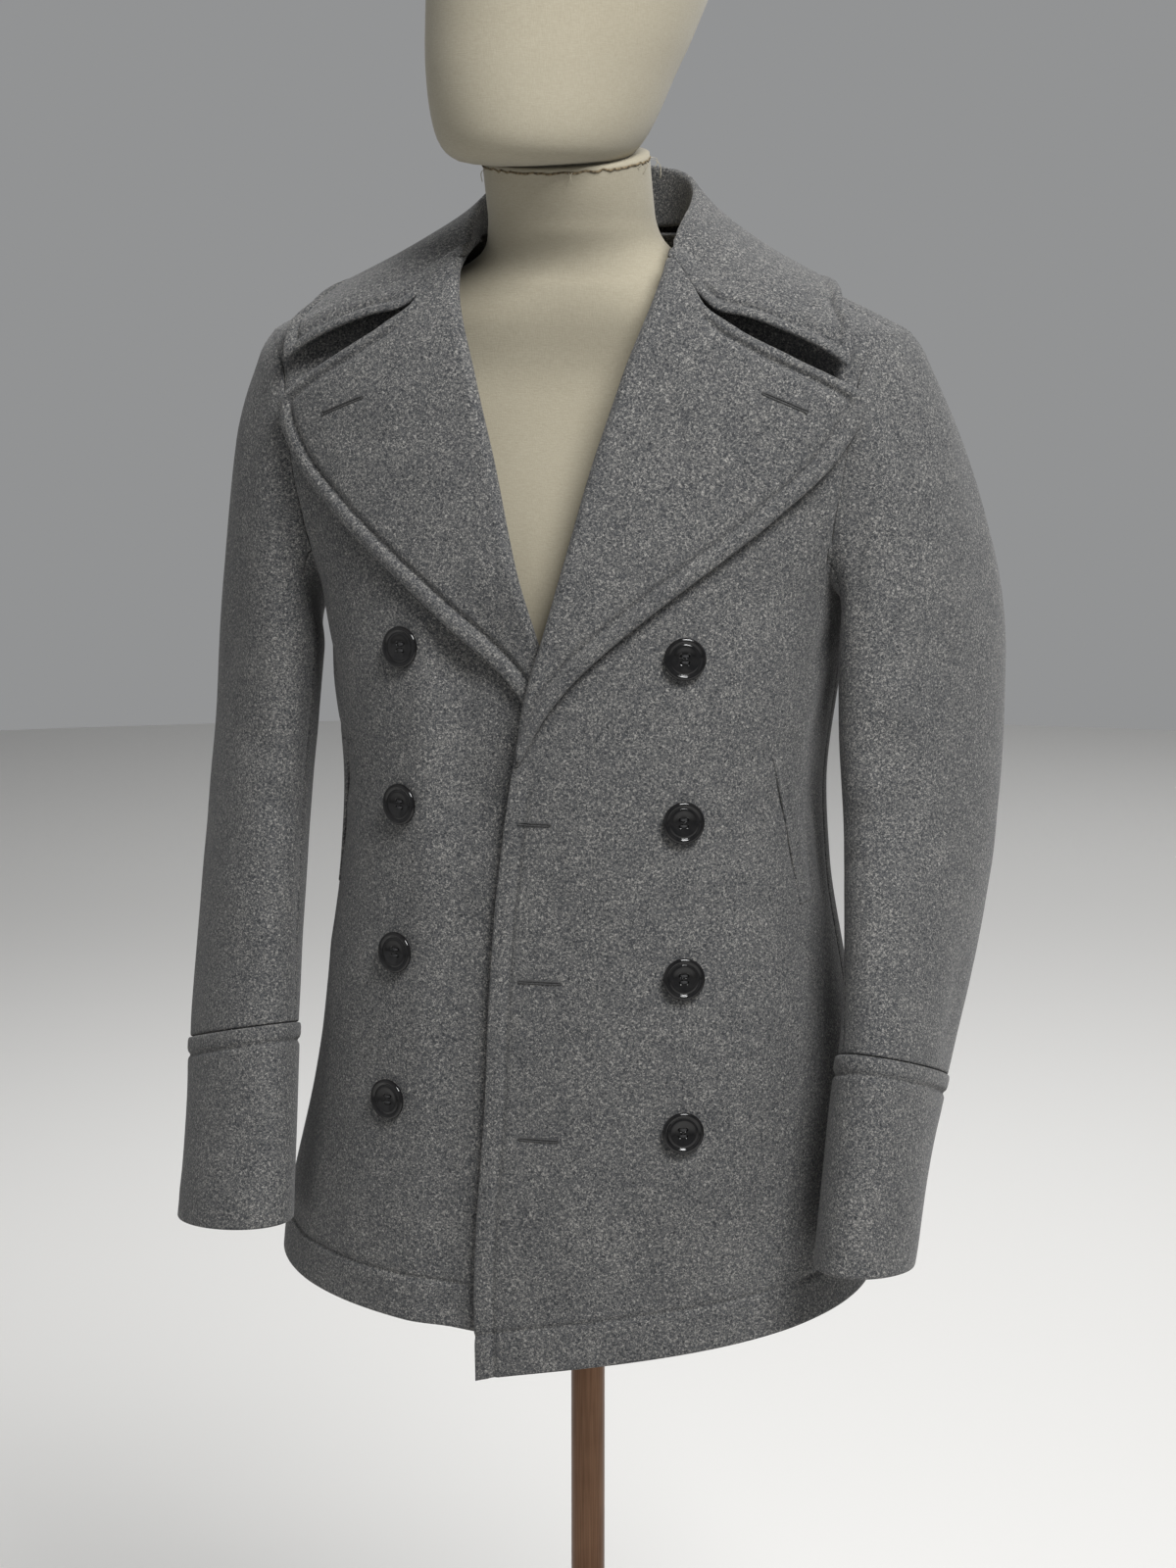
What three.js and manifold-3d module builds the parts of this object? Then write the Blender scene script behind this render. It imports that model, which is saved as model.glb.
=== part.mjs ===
// A double-breasted wool pea coat, worn open on a limbless dress form with an egg head, pole and base.
// Millimetres, +Z up. The coat faces -Y and the wearer's left is +X. The origin is the centre of the
// base's underside. "down" is always the distance below the high shoulder point, beside the neck.
import * as THREE from "three";
import { mergeVertices } from "three/addons/utils/BufferGeometryUtils.js";
import Module from "manifold-3d";

const wasm = await Module();
wasm.setup();

// Driving sizes
const SHOULDER_Z = 1460; // height of the high shoulder point above the floor
const SEAM_GAP = 0.4; // clearance between the pieces at a seam
const SLEEVE_GAP = 1.9; // clearance at the armhole
const UNDERARM_STAND = 3.2; // how far the sleeve stands off the body below the armhole's middle
const FRONT_WALL = 4; // melton front with its facing behind
const CLOTH_WALL = 3; // melton with its lining
const LAPEL_WALL = 5; // facing, canvas and melton
const SHOULDER_END = 68; // down to the outer end of the shoulder seam
const ARMPIT = 246; // down to the lowest point of the armhole
const HEM_SIDE = 738; // down to the hem at the side and back
const HEM_OVER = 784; // down to the corner of the front that lies on top
const HEM_UNDER = 757; // down to the corner of the front that lies beneath
const BREAK_DOWN = 352; // down to where the lapel runs into the front edge
const UNDER_DROP = 7; // how far the lower front lies inside the upper one
const BREAK_DROP = 7; // how much further it lies inside where the lower lapel passes under
const LAPEL_DROP = 15; // how far the end of the lower lapel lies inside
const BUTTON_DIAMETER = 28.5;
const BUTTON_THICK = 4.2;
const BUTTON_LIFT = 1.2; // thread shank between the cloth and the button
const BUTTON_HOLE = { radius: 1.1, out: 1.85 }; // each of the four holes, and how far it lies out both ways
// Buttons from the top down, on the wearer's left and right front
const BUTTONS = [
  { left: 279, leftOut: 97, right: 277, rightOut: 98 },
  { left: 389, leftOut: 97, right: 385, rightOut: 99 },
  { left: 495, leftOut: 99, right: 488, rightOut: 102 },
  { left: 601, leftOut: 101, right: 592, rightOut: 107 },
];
const POLE_RADIUS = 12.5;
const BASE_RADIUS = 175;
const BASE_THICK = 14;
const TORSO_END = 600; // down to the closed bottom of the form's torso

// Sections of the coat's body: half width at the side, depth in front and behind, squareness
const BODY = [
  { down: -8, half: 66, front: 56, back: 66, square: 2.0 },
  { down: 0, half: 78, front: 62, back: 74, square: 2.05 },
  { down: 15, half: 112, front: 74, back: 84, square: 2.1 },
  { down: 30, half: 147, front: 84, back: 91, square: 2.15 },
  { down: 45, half: 181, front: 93, back: 97, square: 2.2 },
  { down: 58, half: 208, front: 99, back: 102, square: 2.25 },
  { down: 68, half: 226, front: 103, back: 105, square: 2.3 },
  { down: 85, half: 237, front: 109, back: 110, square: 2.3 },
  { down: 110, half: 240, front: 116, back: 116, square: 2.35 },
  { down: 150, half: 231, front: 125, back: 121, square: 2.35 },
  { down: 200, half: 210, front: 135, back: 123, square: 2.4 },
  { down: 246, half: 188, front: 142, back: 121, square: 2.45 },
  { down: 310, half: 179, front: 147, back: 113, square: 2.5 },
  { down: 385, half: 171, front: 150, back: 106, square: 2.5 },
  { down: 440, half: 174, front: 152, back: 109, square: 2.5 },
  { down: 520, half: 187, front: 156, back: 122, square: 2.45 },
  { down: 620, half: 202, front: 161, back: 137, square: 2.25 },
  { down: 738, half: 220, front: 167, back: 150, square: 2.1 },
  { down: 800, half: 223, front: 169, back: 153, square: 2.1 },
];
const SWING = 8; // how far the hem hangs towards the wearer's right
const SWING_TOP = 560; // down to where that begins

// Armhole: a rounded loop on the body, seen from the side
const ARMHOLE_FRONT = 77; // reach in front of the shoulder seam
const ARMHOLE_BACK = 66; // reach behind it
const ARMHOLE_ROUND = 2 / 3; // power that squares the loop's corners
const ARM_STEP = 18; // degrees between the lines round a sleeve

// Inner edge of a front: the roll line above the break, the front edge below it
const FRONT_EDGE = [
  { down: 0, out: 67 },
  { down: 22, out: 69 },
  { down: 98, out: 49 },
  { down: 152, out: 33 },
  { down: 211, out: 18 },
  { down: 267, out: 3 },
  { down: 305, out: -8 },
  { down: 352, out: -17 },
  { down: 400, out: -24 },
  { down: 470, out: -31 },
  { down: 560, out: -35 },
  { down: 650, out: -36 },
  { down: 800, out: -33 },
];

// Outer edge of a lapel, from its tip to the break
const LAPEL_EDGE = [
  { down: 112, out: 203 },
  { down: 146, out: 189 },
  { down: 188, out: 150 },
  { down: 214, out: 120 },
  { down: 240, out: 88 },
  { down: 276, out: 46 },
  { down: 300, out: 22 },
  { down: 326, out: 3 },
  { down: 352, out: -11 },
];
const LAPEL_TIP = { inward: 9, lower: 7 }; // how the lower lapel's tip differs from the upper one's
const NOTCH = { across: 0.24, sag: 13 }; // where the gorge seam ends, and how far it dips there
const LAPEL_LIFT = { roll: 5, edge: 3, atBreak: 0.55 }; // clearance under the lapel, and its share at the break

// Collar, from the gorge to the centre back: the fold, the height of the stand, and the outer edge,
// whose angle is measured round the body from the centre front
const COLLAR = [
  { out: 71, ahead: 60, up: -12, stand: 8, angle: 68, down: 93 },
  { out: 74, ahead: 49, up: -2, stand: 9, angle: 71, down: 75 },
  { out: 76.5, ahead: 34, up: 9, stand: 10, angle: 75, down: 59 },
  { out: 77.5, ahead: 14, up: 18, stand: 13, angle: 81, down: 48 },
  { out: 76, ahead: -8, up: 27, stand: 23, angle: 92, down: 41 },
  { out: 69, ahead: -34, up: 36, stand: 32, angle: 112, down: 39 },
  { out: 52, ahead: -59, up: 43, stand: 39, angle: 136, down: 39 },
  { out: 28, ahead: -74, up: 46, stand: 43, angle: 160, down: 41 },
  { out: 0, ahead: -79, up: 47, stand: 44, angle: 180, down: 42 },
];
const COLLAR_LIFT = 2.6; // clearance under the fall
const COLLAR_ROUND = 2.5; // rounding of the fold
const COLLAR_TURN = 3.5; // height of the fold's inside below its rounding
const COLLAR_HUG = 2.3; // how soon the fall comes down from the fold to the shoulder

// Arms below the armhole: centre line, half sizes front to back and side to side, turn of the section
const ARM_LEFT = [
  { down: 300, out: 240, ahead: 0, deep: 86, wide: 39, turn: 27 },
  { down: 350, out: 241, ahead: 6, deep: 83, wide: 38, turn: 28 },
  { down: 400, out: 242, ahead: 14, deep: 79, wide: 37, turn: 27 },
  { down: 450, out: 241, ahead: 28, deep: 76, wide: 36, turn: 23 },
  { down: 500, out: 239, ahead: 46, deep: 71, wide: 35, turn: 18 },
  { down: 550, out: 235, ahead: 65, deep: 66, wide: 34, turn: 12 },
  { down: 592, out: 230, ahead: 82, deep: 61, wide: 34, turn: 8 },
  { down: 640, out: 226, ahead: 100, deep: 58, wide: 33, turn: 5 },
  { down: 694, out: 222, ahead: 118, deep: 56, wide: 32, turn: 3 },
];
const ARM_RIGHT = [
  { down: 300, out: 238, ahead: 0, deep: 84, wide: 37, turn: 27 },
  { down: 350, out: 241, ahead: 4, deep: 81, wide: 36, turn: 28 },
  { down: 400, out: 244, ahead: 12, deep: 78, wide: 36, turn: 29 },
  { down: 450, out: 245, ahead: 24, deep: 75, wide: 36, turn: 31 },
  { down: 500, out: 245, ahead: 38, deep: 71, wide: 36, turn: 33 },
  { down: 550, out: 244, ahead: 54, deep: 66, wide: 36, turn: 37 },
  { down: 592, out: 242, ahead: 68, deep: 62, wide: 35, turn: 40 },
  { down: 640, out: 240, ahead: 84, deep: 59, wide: 35, turn: 44 },
  { down: 700, out: 238, ahead: 102, deep: 57, wide: 35, turn: 47 },
];
const CUFF_DEPTH = 128; // height of the turned-back cuff
const CUFF_WALL = 3;

// The form: torso sections, neck sections, and head sections above the chin
const TORSO_EASE = 24; // how far the torso lies inside the coat's body
const TORSO_SHOULDER_EASE = 26; // how much further it does at the shoulders, under their pads
const TORSO_EDGE = 22; // rounding of the torso's closed bottom
const TORSO_ROWS = [590, 560, 500, 440, 385, 320, 260, 210, 165, 125, 96, 74, 54, 36];
const NECK = [
  { up: -30, half: 74, deep: 66, ahead: 4 },
  { up: -8, half: 62, deep: 59, ahead: 14 },
  { up: 12, half: 57.5, deep: 57, ahead: 24 },
  { up: 42, half: 57, deep: 57, ahead: 37 },
];
const HEAD_TURN = -24; // degrees round the neck, towards the wearer's right
const HEAD_OUT = -9;
const HEAD_AHEAD = 46;
const HEAD_UP = 43;
const HEAD = [
  { up: 0, deep: 30, wide: 26, ahead: 22 },
  { up: 3, deep: 58, wide: 49, ahead: 22 },
  { up: 12, deep: 73, wide: 61, ahead: 21 },
  { up: 30, deep: 84, wide: 69, ahead: 17 },
  { up: 60, deep: 95, wide: 76, ahead: 9 },
  { up: 90, deep: 104, wide: 82, ahead: -2 },
  { up: 125, deep: 112, wide: 86, ahead: -14 },
  { up: 165, deep: 113, wide: 87, ahead: -22 },
  { up: 205, deep: 100, wide: 78, ahead: -28 },
  { up: 235, deep: 75, wide: 60, ahead: -30 },
  { up: 252, deep: 46, wide: 38, ahead: -31 },
  { up: 260, deep: 14, wide: 12, ahead: -31 },
];

// Slanted pocket welt: the upper and lower end of its front edge, its width round the body and its wall
const POCKET = { outTop: 150, downTop: 350, outLow: 166, downLow: 456, width: 25, wall: 2.2 };
const POCKET_LIFT = 1.3; // clearance between the welt and the front it is stitched to

const wool = new THREE.MeshStandardMaterial({ color: 0x6b6b6a, roughness: 0.95, metalness: 0 });
const horn = new THREE.MeshStandardMaterial({ color: 0x0d0d0e, roughness: 0.18, metalness: 0 });
const linen = new THREE.MeshStandardMaterial({ color: 0xb9b09a, roughness: 0.85, metalness: 0 });
const bronze = new THREE.MeshStandardMaterial({ color: 0x5a3d2a, roughness: 0.35, metalness: 0.9 });

const coat = new THREE.Group();

function range(count, make) {
  return Array.from({ length: count }, (_, index) => make(index));
}

function blend(from, to, part) {
  return from + (to - from) * part;
}

function easeStep(low, high, value) {
  return THREE.MathUtils.smoothstep(value, low, high);
}

// Smooth curve through one column of a table, with no overshoot between its rows
function column(table, key, at, name) {
  const last = table.length - 1;
  const value = THREE.MathUtils.clamp(at, table[0][key], table[last][key]);
  let index = 0;
  while (index < last - 1 && value > table[index + 1][key]) index += 1;
  const step = (i) => table[i + 1][key] - table[i][key];
  const slope = (i) => (table[i + 1][name] - table[i][name]) / step(i);
  const tangent = (i) => {
    if (i === 0) return slope(0);
    if (i === last) return slope(last - 1);
    const before = slope(i - 1);
    const after = slope(i);
    return before * after <= 0 ? 0 : (2 * before * after) / (before + after);
  };
  const width = step(index);
  const t = (value - table[index][key]) / width;
  const rise = table[index + 1][name] - table[index][name];
  const start = tangent(index) * width;
  const end = tangent(index + 1) * width;
  const square = 3 * rise - 2 * start - end;
  const cube = start + end - 2 * rise;
  return table[index][name] + t * (start + t * (square + t * cube));
}

// Point on the body's section at an angle round it: 0 is the centre front, 90 the wearer's left side
function bodyPoint(angle, down, inset = 0) {
  const turn = THREE.MathUtils.degToRad(angle);
  const half = column(BODY, "down", down, "half") - inset;
  const depth = column(BODY, "down", down, Math.cos(turn) >= 0 ? "front" : "back") - inset;
  const square = column(BODY, "down", down, "square");
  const across = Math.abs(Math.sin(turn)) / half;
  const along = Math.abs(Math.cos(turn)) / depth;
  const radius = (across ** square + along ** square) ** (-1 / square);
  return new THREE.Vector3(radius * Math.sin(turn), -radius * Math.cos(turn), SHOULDER_Z - down);
}

function bodyNormal(angle, down) {
  const round = bodyPoint(angle + 0.5, down).sub(bodyPoint(angle - 0.5, down));
  const along = bodyPoint(angle, down + 1).sub(bodyPoint(angle, down - 1));
  return along.cross(round).normalize();
}

// Angle of the point that lies a distance out from the centre, in front or behind
function angleAt(out, down, behind = false) {
  const half = column(BODY, "down", down, "half");
  const depth = column(BODY, "down", down, behind ? "back" : "front");
  const square = column(BODY, "down", down, "square");
  const reach = Math.min(Math.abs(out) / half, 1);
  const depthThere = depth * (1 - reach ** square) ** (1 / square);
  const angle = THREE.MathUtils.radToDeg(Math.atan2(Math.abs(out), depthThere));
  return Math.sign(out) * (behind ? 180 - angle : angle);
}

// Closed solid between an outer and an inner grid of points with the same rows and columns
function solidBetween(outer, inner) {
  const rows = outer.length;
  const columns = outer[0].length;
  const points = [...outer.flat(), ...inner.flat()];
  const index = (r, c, layer) => layer * rows * columns + r * columns + c;
  const faces = [];
  const quad = (a, b, c, d) => faces.push(a, b, c, a, c, d);
  for (let r = 0; r < rows - 1; r += 1) {
    for (let c = 0; c < columns - 1; c += 1) {
      quad(index(r, c, 0), index(r + 1, c, 0), index(r + 1, c + 1, 0), index(r, c + 1, 0));
      quad(index(r, c, 1), index(r, c + 1, 1), index(r + 1, c + 1, 1), index(r + 1, c, 1));
    }
    quad(index(r, 0, 0), index(r, 0, 1), index(r + 1, 0, 1), index(r + 1, 0, 0));
    const c = columns - 1;
    quad(index(r, c, 0), index(r + 1, c, 0), index(r + 1, c, 1), index(r, c, 1));
  }
  for (let c = 0; c < columns - 1; c += 1) {
    quad(index(0, c, 0), index(0, c + 1, 0), index(0, c + 1, 1), index(0, c, 1));
    const r = rows - 1;
    quad(index(r, c, 0), index(r, c, 1), index(r, c + 1, 1), index(r, c + 1, 0));
  }
  return closedGeometry(points, faces);
}

// Geometry from points and faces, turned to face outwards
function closedGeometry(points, faces) {
  let volume = 0;
  for (let i = 0; i < faces.length; i += 3) {
    const [a, b, c] = [points[faces[i]], points[faces[i + 1]], points[faces[i + 2]]];
    volume += a.dot(b.clone().cross(c));
  }
  const ordered = volume >= 0 ? faces : faces.slice().reverse();
  const geometry = new THREE.BufferGeometry();
  const numbers = points.flatMap((point) => point.toArray());
  geometry.setAttribute("position", new THREE.Float32BufferAttribute(numbers, 3));
  geometry.setIndex(ordered);
  return geometry;
}

// Closed solid from a stack of rings, capped flat at both ends
function solidOfRings(rings) {
  const sides = rings[0].length;
  const points = rings.flat();
  const faces = [];
  for (let r = 0; r < rings.length - 1; r += 1) {
    for (let s = 0; s < sides; s += 1) {
      const next = (s + 1) % sides;
      const [a, b] = [r * sides + s, r * sides + next];
      faces.push(a, b, b + sides, a, b + sides, a + sides);
    }
  }
  const cap = (start, order) => {
    for (let s = 1; s < sides - 1; s += 1) {
      const [b, c] = order ? [s, s + 1] : [s + 1, s];
      faces.push(start, start + c, start + b);
    }
  };
  cap(0, true);
  cap((rings.length - 1) * sides, false);
  return closedGeometry(points, faces);
}

function add(name, geometry, material) {
  const mesh = new THREE.Mesh(geometry, material);
  mesh.name = name;
  coat.add(mesh);
  return mesh;
}

function mirrored(point) {
  return new THREE.Vector3(-point.x, point.y, point.z);
}

// Body point on its own side of the coat, moved with the hem's swing
function hung(point, side) {
  const swing = SWING * easeStep(SWING_TOP, HEM_SIDE, SHOULDER_Z - point.z);
  return new THREE.Vector3(side * point.x - swing, point.y, point.z);
}

// Inner side of a wall: each point moved in along its normal
function wallOf(grid, normals, thick) {
  const movedIn = (point, normal) => point.clone().addScaledVector(normal, -thick);
  return grid.map((line, r) => line.map((point, c) => movedIn(point, normals[r][c])));
}

function mirrorGrid(grid, side) {
  return side > 0 ? grid : grid.map((line) => line.map(mirrored));
}

function hungGrid(grid, side) {
  return grid.map((line) => line.map((point) => hung(point, side)));
}

// Rows of a panel: fixed levels down to the armpit, then even steps down to the hem
const SHOULDER_ROWS = [0, 14, 28, 42, 56];
const LOWER_STEPS = 12;
const SIDE_SEAM = 0.08; // degrees from the side seam's line to each edge

function panelRows() {
  const shoulder = SHOULDER_ROWS.map((down) => ({ down, part: 0, turn: null }));
  const armhole = range(180 / ARM_STEP + 1, (i) => {
    const turn = 90 - i * ARM_STEP;
    return { down: armholeAt(turn).down, part: 0, turn };
  });
  const lower = range(LOWER_STEPS, (i) => ({ down: ARMPIT, part: (i + 1) / LOWER_STEPS, turn: null }));
  return [...shoulder, ...armhole, ...lower];
}

// Point of the armhole loop at an angle round the sleeve: 0 in front, 90 at the shoulder, 270 at the armpit
function armholeAt(turn) {
  const rad = THREE.MathUtils.degToRad(turn);
  const middle = (SHOULDER_END + ARMPIT) / 2;
  const rise = Math.sign(Math.sin(rad)) * Math.abs(Math.sin(rad)) ** ARMHOLE_ROUND;
  const down = middle - (middle - SHOULDER_END) * rise;
  const behind = Math.cos(rad) < -1e-9;
  const reach = (behind ? ARMHOLE_BACK : ARMHOLE_FRONT) * Math.abs(Math.cos(rad)) ** ARMHOLE_ROUND;
  const depth = column(BODY, "down", down, behind ? "back" : "front");
  const half = column(BODY, "down", down, "half");
  const square = column(BODY, "down", down, "square");
  const out = half * (1 - (reach / depth) ** square) ** (1 / square);
  const angle = THREE.MathUtils.radToDeg(Math.atan2(out, Math.max(reach, 0.15)));
  return { down, angle: behind ? 180 - angle : angle };
}

// Angle of the panel's outer edge at a row: the sleeve, the shoulder seam or the side seam
function outerAngle(turn, behind) {
  if (turn === null) return behind ? 90 + SIDE_SEAM : 90 - SIDE_SEAM;
  return behind ? Math.max(armholeAt(180 - turn).angle, 90 + SIDE_SEAM) : armholeAt(turn).angle;
}

// A front, from its inner edge to the side: over lies on top at the overlap, under beneath it
function frontPanel(side, over) {
  const inside = 6; // columns up to the fixed line, and those from it to the outer edge
  const outside = 3;
  const fixedAngle = 60;
  const corner = over ? HEM_OVER : HEM_UNDER;
  const tuck = 6;
  const grid = [];
  const normals = [];
  for (const { down, part, turn } of panelRows()) {
    const line = [];
    const lineNormals = [];
    for (let c = 0; c <= inside + outside; c += 1) {
      const across = c / (inside + outside);
      const hem = blend(corner, HEM_SIDE, across ** 0.8);
      const level = part > 0 ? blend(down, hem, part) : down;
      const edge = column(FRONT_EDGE, "down", level, "out");
      const hidden = tuck * (1 - easeStep(BREAK_DOWN - 90, BREAK_DOWN - 10, level));
      const inner = angleAt(edge + hidden, level);
      const outer = outerAngle(turn, false);
      const middle = Math.max(fixedAngle, inner + (outer - inner) * 0.6);
      const past = (c - inside) / outside;
      const angle = past <= 0 ? blend(inner, middle, c / inside) : blend(middle, outer, past);
      const normal = bodyNormal(angle, level);
      const point = bodyPoint(angle, level);
      line.push(point.addScaledVector(normal, over ? 0 : -underDrop(-point.x, level)));
      lineNormals.push(normal);
    }
    grid.push(line);
    normals.push(lineNormals);
  }
  const inner = wallOf(grid, normals, FRONT_WALL);
  return solidBetween(hungGrid(grid, side), hungGrid(inner, side));
}

// How far the lower front lies inside, at a distance across from the centre and a level
function underDrop(across, level) {
  const deep = easeStep(225, 285, level) * (1 - easeStep(375, 440, level));
  return (UNDER_DROP + BREAK_DROP * deep) * easeStep(-88, -52, across);
}

function backPanel(side) {
  const steps = 7;
  const grid = [];
  const normals = [];
  for (const { down, part, turn } of panelRows()) {
    const level = part > 0 ? blend(down, HEM_SIDE, part) : down;
    const edge = outerAngle(turn, true);
    const centre = 180 - 0.12;
    const angles = range(steps + 1, (c) => blend(edge, centre, c / steps));
    grid.push(angles.map((angle) => bodyPoint(angle, level)));
    normals.push(angles.map((angle) => bodyNormal(angle, level)));
  }
  const inner = wallOf(grid, normals, CLOTH_WALL);
  return solidBetween(hungGrid(grid, side), hungGrid(inner, side));
}

// The turned-back lapel, lying just off the front
function lapel(side, over) {
  const rows = 13;
  const across = [0, 0.08, NOTCH.across, 0.42, 0.6, 0.8, 0.93, 1];
  const grid = [];
  const normals = [];
  const topDown = FRONT_EDGE[1].down + 1;
  const tip = over ? { inward: 0, lower: 0 } : LAPEL_TIP;
  for (let r = 0; r <= rows; r += 1) {
    const v = r / rows;
    const rollDown = blend(topDown, BREAK_DOWN - 12, v);
    const edgeTable = blend(LAPEL_EDGE[0].down, BREAK_DOWN, v);
    const edgeDown = edgeTable + tip.lower * (1 - v) ** 3;
    const roll = column(FRONT_EDGE, "down", rollDown, "out");
    const edge = column(LAPEL_EDGE, "down", edgeTable, "out") - tip.inward * (1 - v) ** 3;
    const line = [];
    const lineNormals = [];
    for (const u of across) {
      const dip = u < NOTCH.across ? u / NOTCH.across : (1 - u) / (1 - NOTCH.across);
      const level = blend(rollDown, edgeDown, u) + NOTCH.sag * dip * (1 - v) ** 3;
      const out = blend(roll, edge, u);
      const angle = angleAt(out, level);
      const normal = bodyNormal(angle, level);
      const stand = blend(LAPEL_LIFT.roll, LAPEL_LIFT.edge, u) * blend(1, LAPEL_LIFT.atBreak, v) + LAPEL_WALL + 1;
      const point = bodyPoint(angle, level);
      const drop = over ? 0 : LAPEL_DROP * easeStep(-70, -25, -point.x) * easeStep(215, 285, level);
      line.push(point.addScaledVector(normal, stand - drop));
      lineNormals.push(normal);
    }
    grid.push(line);
    normals.push(lineNormals);
  }
  const inner = wallOf(grid, normals, LAPEL_WALL);
  return solidBetween(hungGrid(grid, side), hungGrid(inner, side));
}

// Level at which the body's surface has a given distance from the centre line
function levelAt(angle, radius) {
  let low = BODY[0].down;
  let high = SHOULDER_END;
  for (let i = 0; i < 24; i += 1) {
    const middle = (low + high) / 2;
    const point = bodyPoint(angle, middle);
    if (Math.hypot(point.x, point.y) < radius) low = middle;
    else high = middle;
  }
  return (low + high) / 2;
}

// The collar: a stand inside, folded over into a fall that lies on the shoulders and back
function collarSection(row) {
  const fold = new THREE.Vector3(row.out, -row.ahead, SHOULDER_Z + row.up);
  const foldAngle = THREE.MathUtils.radToDeg(Math.atan2(row.out, row.ahead));
  const foldDown = levelAt(foldAngle, Math.hypot(row.out, row.ahead));
  const lying = (t) => {
    const angle = blend(foldAngle, row.angle, t);
    const down = blend(foldDown, row.down, t);
    return bodyPoint(angle, down).addScaledVector(bodyNormal(angle, down), LAPEL_WALL + COLLAR_LIFT);
  };
  const rise = fold.clone().sub(lying(0));
  if (rise.z < 0) fold.copy(lying(0));
  rise.copy(fold).sub(lying(0));
  const outer = COLLAR_STEPS.map((t) => lying(t).addScaledVector(rise, (1 - t) ** COLLAR_HUG));
  const outward = outer[2].clone().sub(fold).setZ(0).normalize();
  const top = fold.clone().addScaledVector(outward, -COLLAR_ROUND);
  top.z -= COLLAR_ROUND;
  const foot = top.clone();
  foot.z = fold.z - row.stand;
  return { outer, outward, top, foot };
}

const COLLAR_STEPS = [0, 0.1, 0.25, 0.45, 0.72, 1];

function collar() {
  const half = range(2 * (COLLAR.length - 1) + 1, (i) => {
    const at = i / 2;
    const rows = COLLAR.map((row, index) => ({ ...row, index }));
    const names = ["out", "ahead", "up", "stand", "angle", "down"];
    return Object.fromEntries(names.map((name) => [name, column(rows, "index", at, name)]));
  });
  const layers = (row) => {
    const { outer, outward, top, foot } = collarSection(row);
    const down = new THREE.Vector3(0, 0, -1);
    const under = outer.map((point, i) => {
      const before = outer[Math.max(i - 1, 0)];
      const way = outer[Math.min(i + 1, outer.length - 1)].clone().sub(before).normalize();
      const inward = down.clone().addScaledVector(way, -down.dot(way)).normalize();
      return point.clone().addScaledVector(inward, LAPEL_WALL);
    });
    const topIn = top.clone().addScaledVector(outward, LAPEL_WALL);
    topIn.z -= COLLAR_TURN;
    const foldIn = topIn.clone().lerp(under[1], 0.3);
    const footIn = foot.clone().addScaledVector(outward, LAPEL_WALL);
    return { outside: [foot, top, ...outer], inside: [footIn, topIn, foldIn, ...under.slice(1)] };
  };
  const left = half.map(layers);
  const right = half.slice(0, -1).reverse().map(layers);
  const grid = (name) => [...left.map((row) => row[name]), ...right.map((row) => row[name].map(mirrored))];
  return solidBetween(grid("outside"), grid("inside"));
}

// How far an angle round the sleeve lies in the lower half of the armhole, from 0 to 1
function underarm(turn) {
  return easeStep(-0.3, 0.5, -Math.sin(THREE.MathUtils.degToRad(turn)));
}

// Start of the sleeve at an angle round it: just past the armhole, with the body's normal there
function sleeveStart(turn) {
  const at = (angle) => {
    const { down, angle: round } = armholeAt(angle);
    return bodyPoint(round, down);
  };
  const { down, angle } = armholeAt(turn);
  const normal = bodyNormal(angle, down);
  const seam = at(turn + 2).sub(at(turn - 2)).normalize();
  const away = seam.cross(normal).normalize();
  const under = underarm(turn);
  const point = at(turn).addScaledVector(away, SLEEVE_GAP).addScaledVector(normal, UNDERARM_STAND * under);
  return { point, normal, away };
}

// Ring point of the arm's tube at one level
function armPoint(arm, down, turn, inset = 0) {
  const get = (name) => column(arm, "down", down, name);
  const rad = THREE.MathUtils.degToRad(turn);
  const twist = THREE.MathUtils.degToRad(get("turn"));
  const ahead = (get("deep") - inset) * Math.cos(rad);
  const out = (get("wide") - inset) * Math.sin(rad);
  const slope = (column(arm, "down", down + 15, "ahead") - column(arm, "down", down - 15, "ahead")) / 30;
  const x = get("out") + out * Math.cos(twist) - ahead * Math.sin(twist);
  const y = -get("ahead") - ahead * Math.cos(twist) - out * Math.sin(twist);
  const lift = slope * ahead * 0.9;
  return new THREE.Vector3(x, y, SHOULDER_Z - down + lift);
}

const CAP_STEPS = 6; // rings between the armhole and the first full ring of the arm
const ARM_RINGS = 7; // full rings from there down to the cuff
const ARM_START = 300;

// Points of a sleeve along one line down it, and the body's normal where it starts
function sleeveLine(arm, turn) {
  const { point: first, normal, away } = sleeveStart(turn);
  const end = armPoint(arm, ARM_START, turn);
  const endWay = armPoint(arm, ARM_START + 8, turn).sub(end).normalize();
  const rise = Math.sin(THREE.MathUtils.degToRad(turn));
  const reach = first.distanceTo(end);
  const startWay = end.clone().sub(first).normalize().multiplyScalar(0.6);
  startWay.addScaledVector(away, 0.3 + 0.3 * rise);
  startWay.addScaledVector(normal, 0.15 + 0.65 * Math.max(-rise, 0));
  startWay.normalize();
  const curve = new THREE.CubicBezierCurve3(
    first,
    first.clone().addScaledVector(startWay, 0.3 * reach),
    end.clone().addScaledVector(endWay, -0.4 * reach),
    end,
  );
  const points = range(CAP_STEPS, (i) => curve.getPoint(i / CAP_STEPS));
  const cuffTop = arm[arm.length - 1].down - CUFF_DEPTH - SEAM_GAP;
  const below = range(ARM_RINGS, (i) => {
    return armPoint(arm, blend(ARM_START, cuffTop, i / (ARM_RINGS - 1)), turn);
  });
  return { points: [...points, ...below], startNormal: normal };
}

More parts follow.
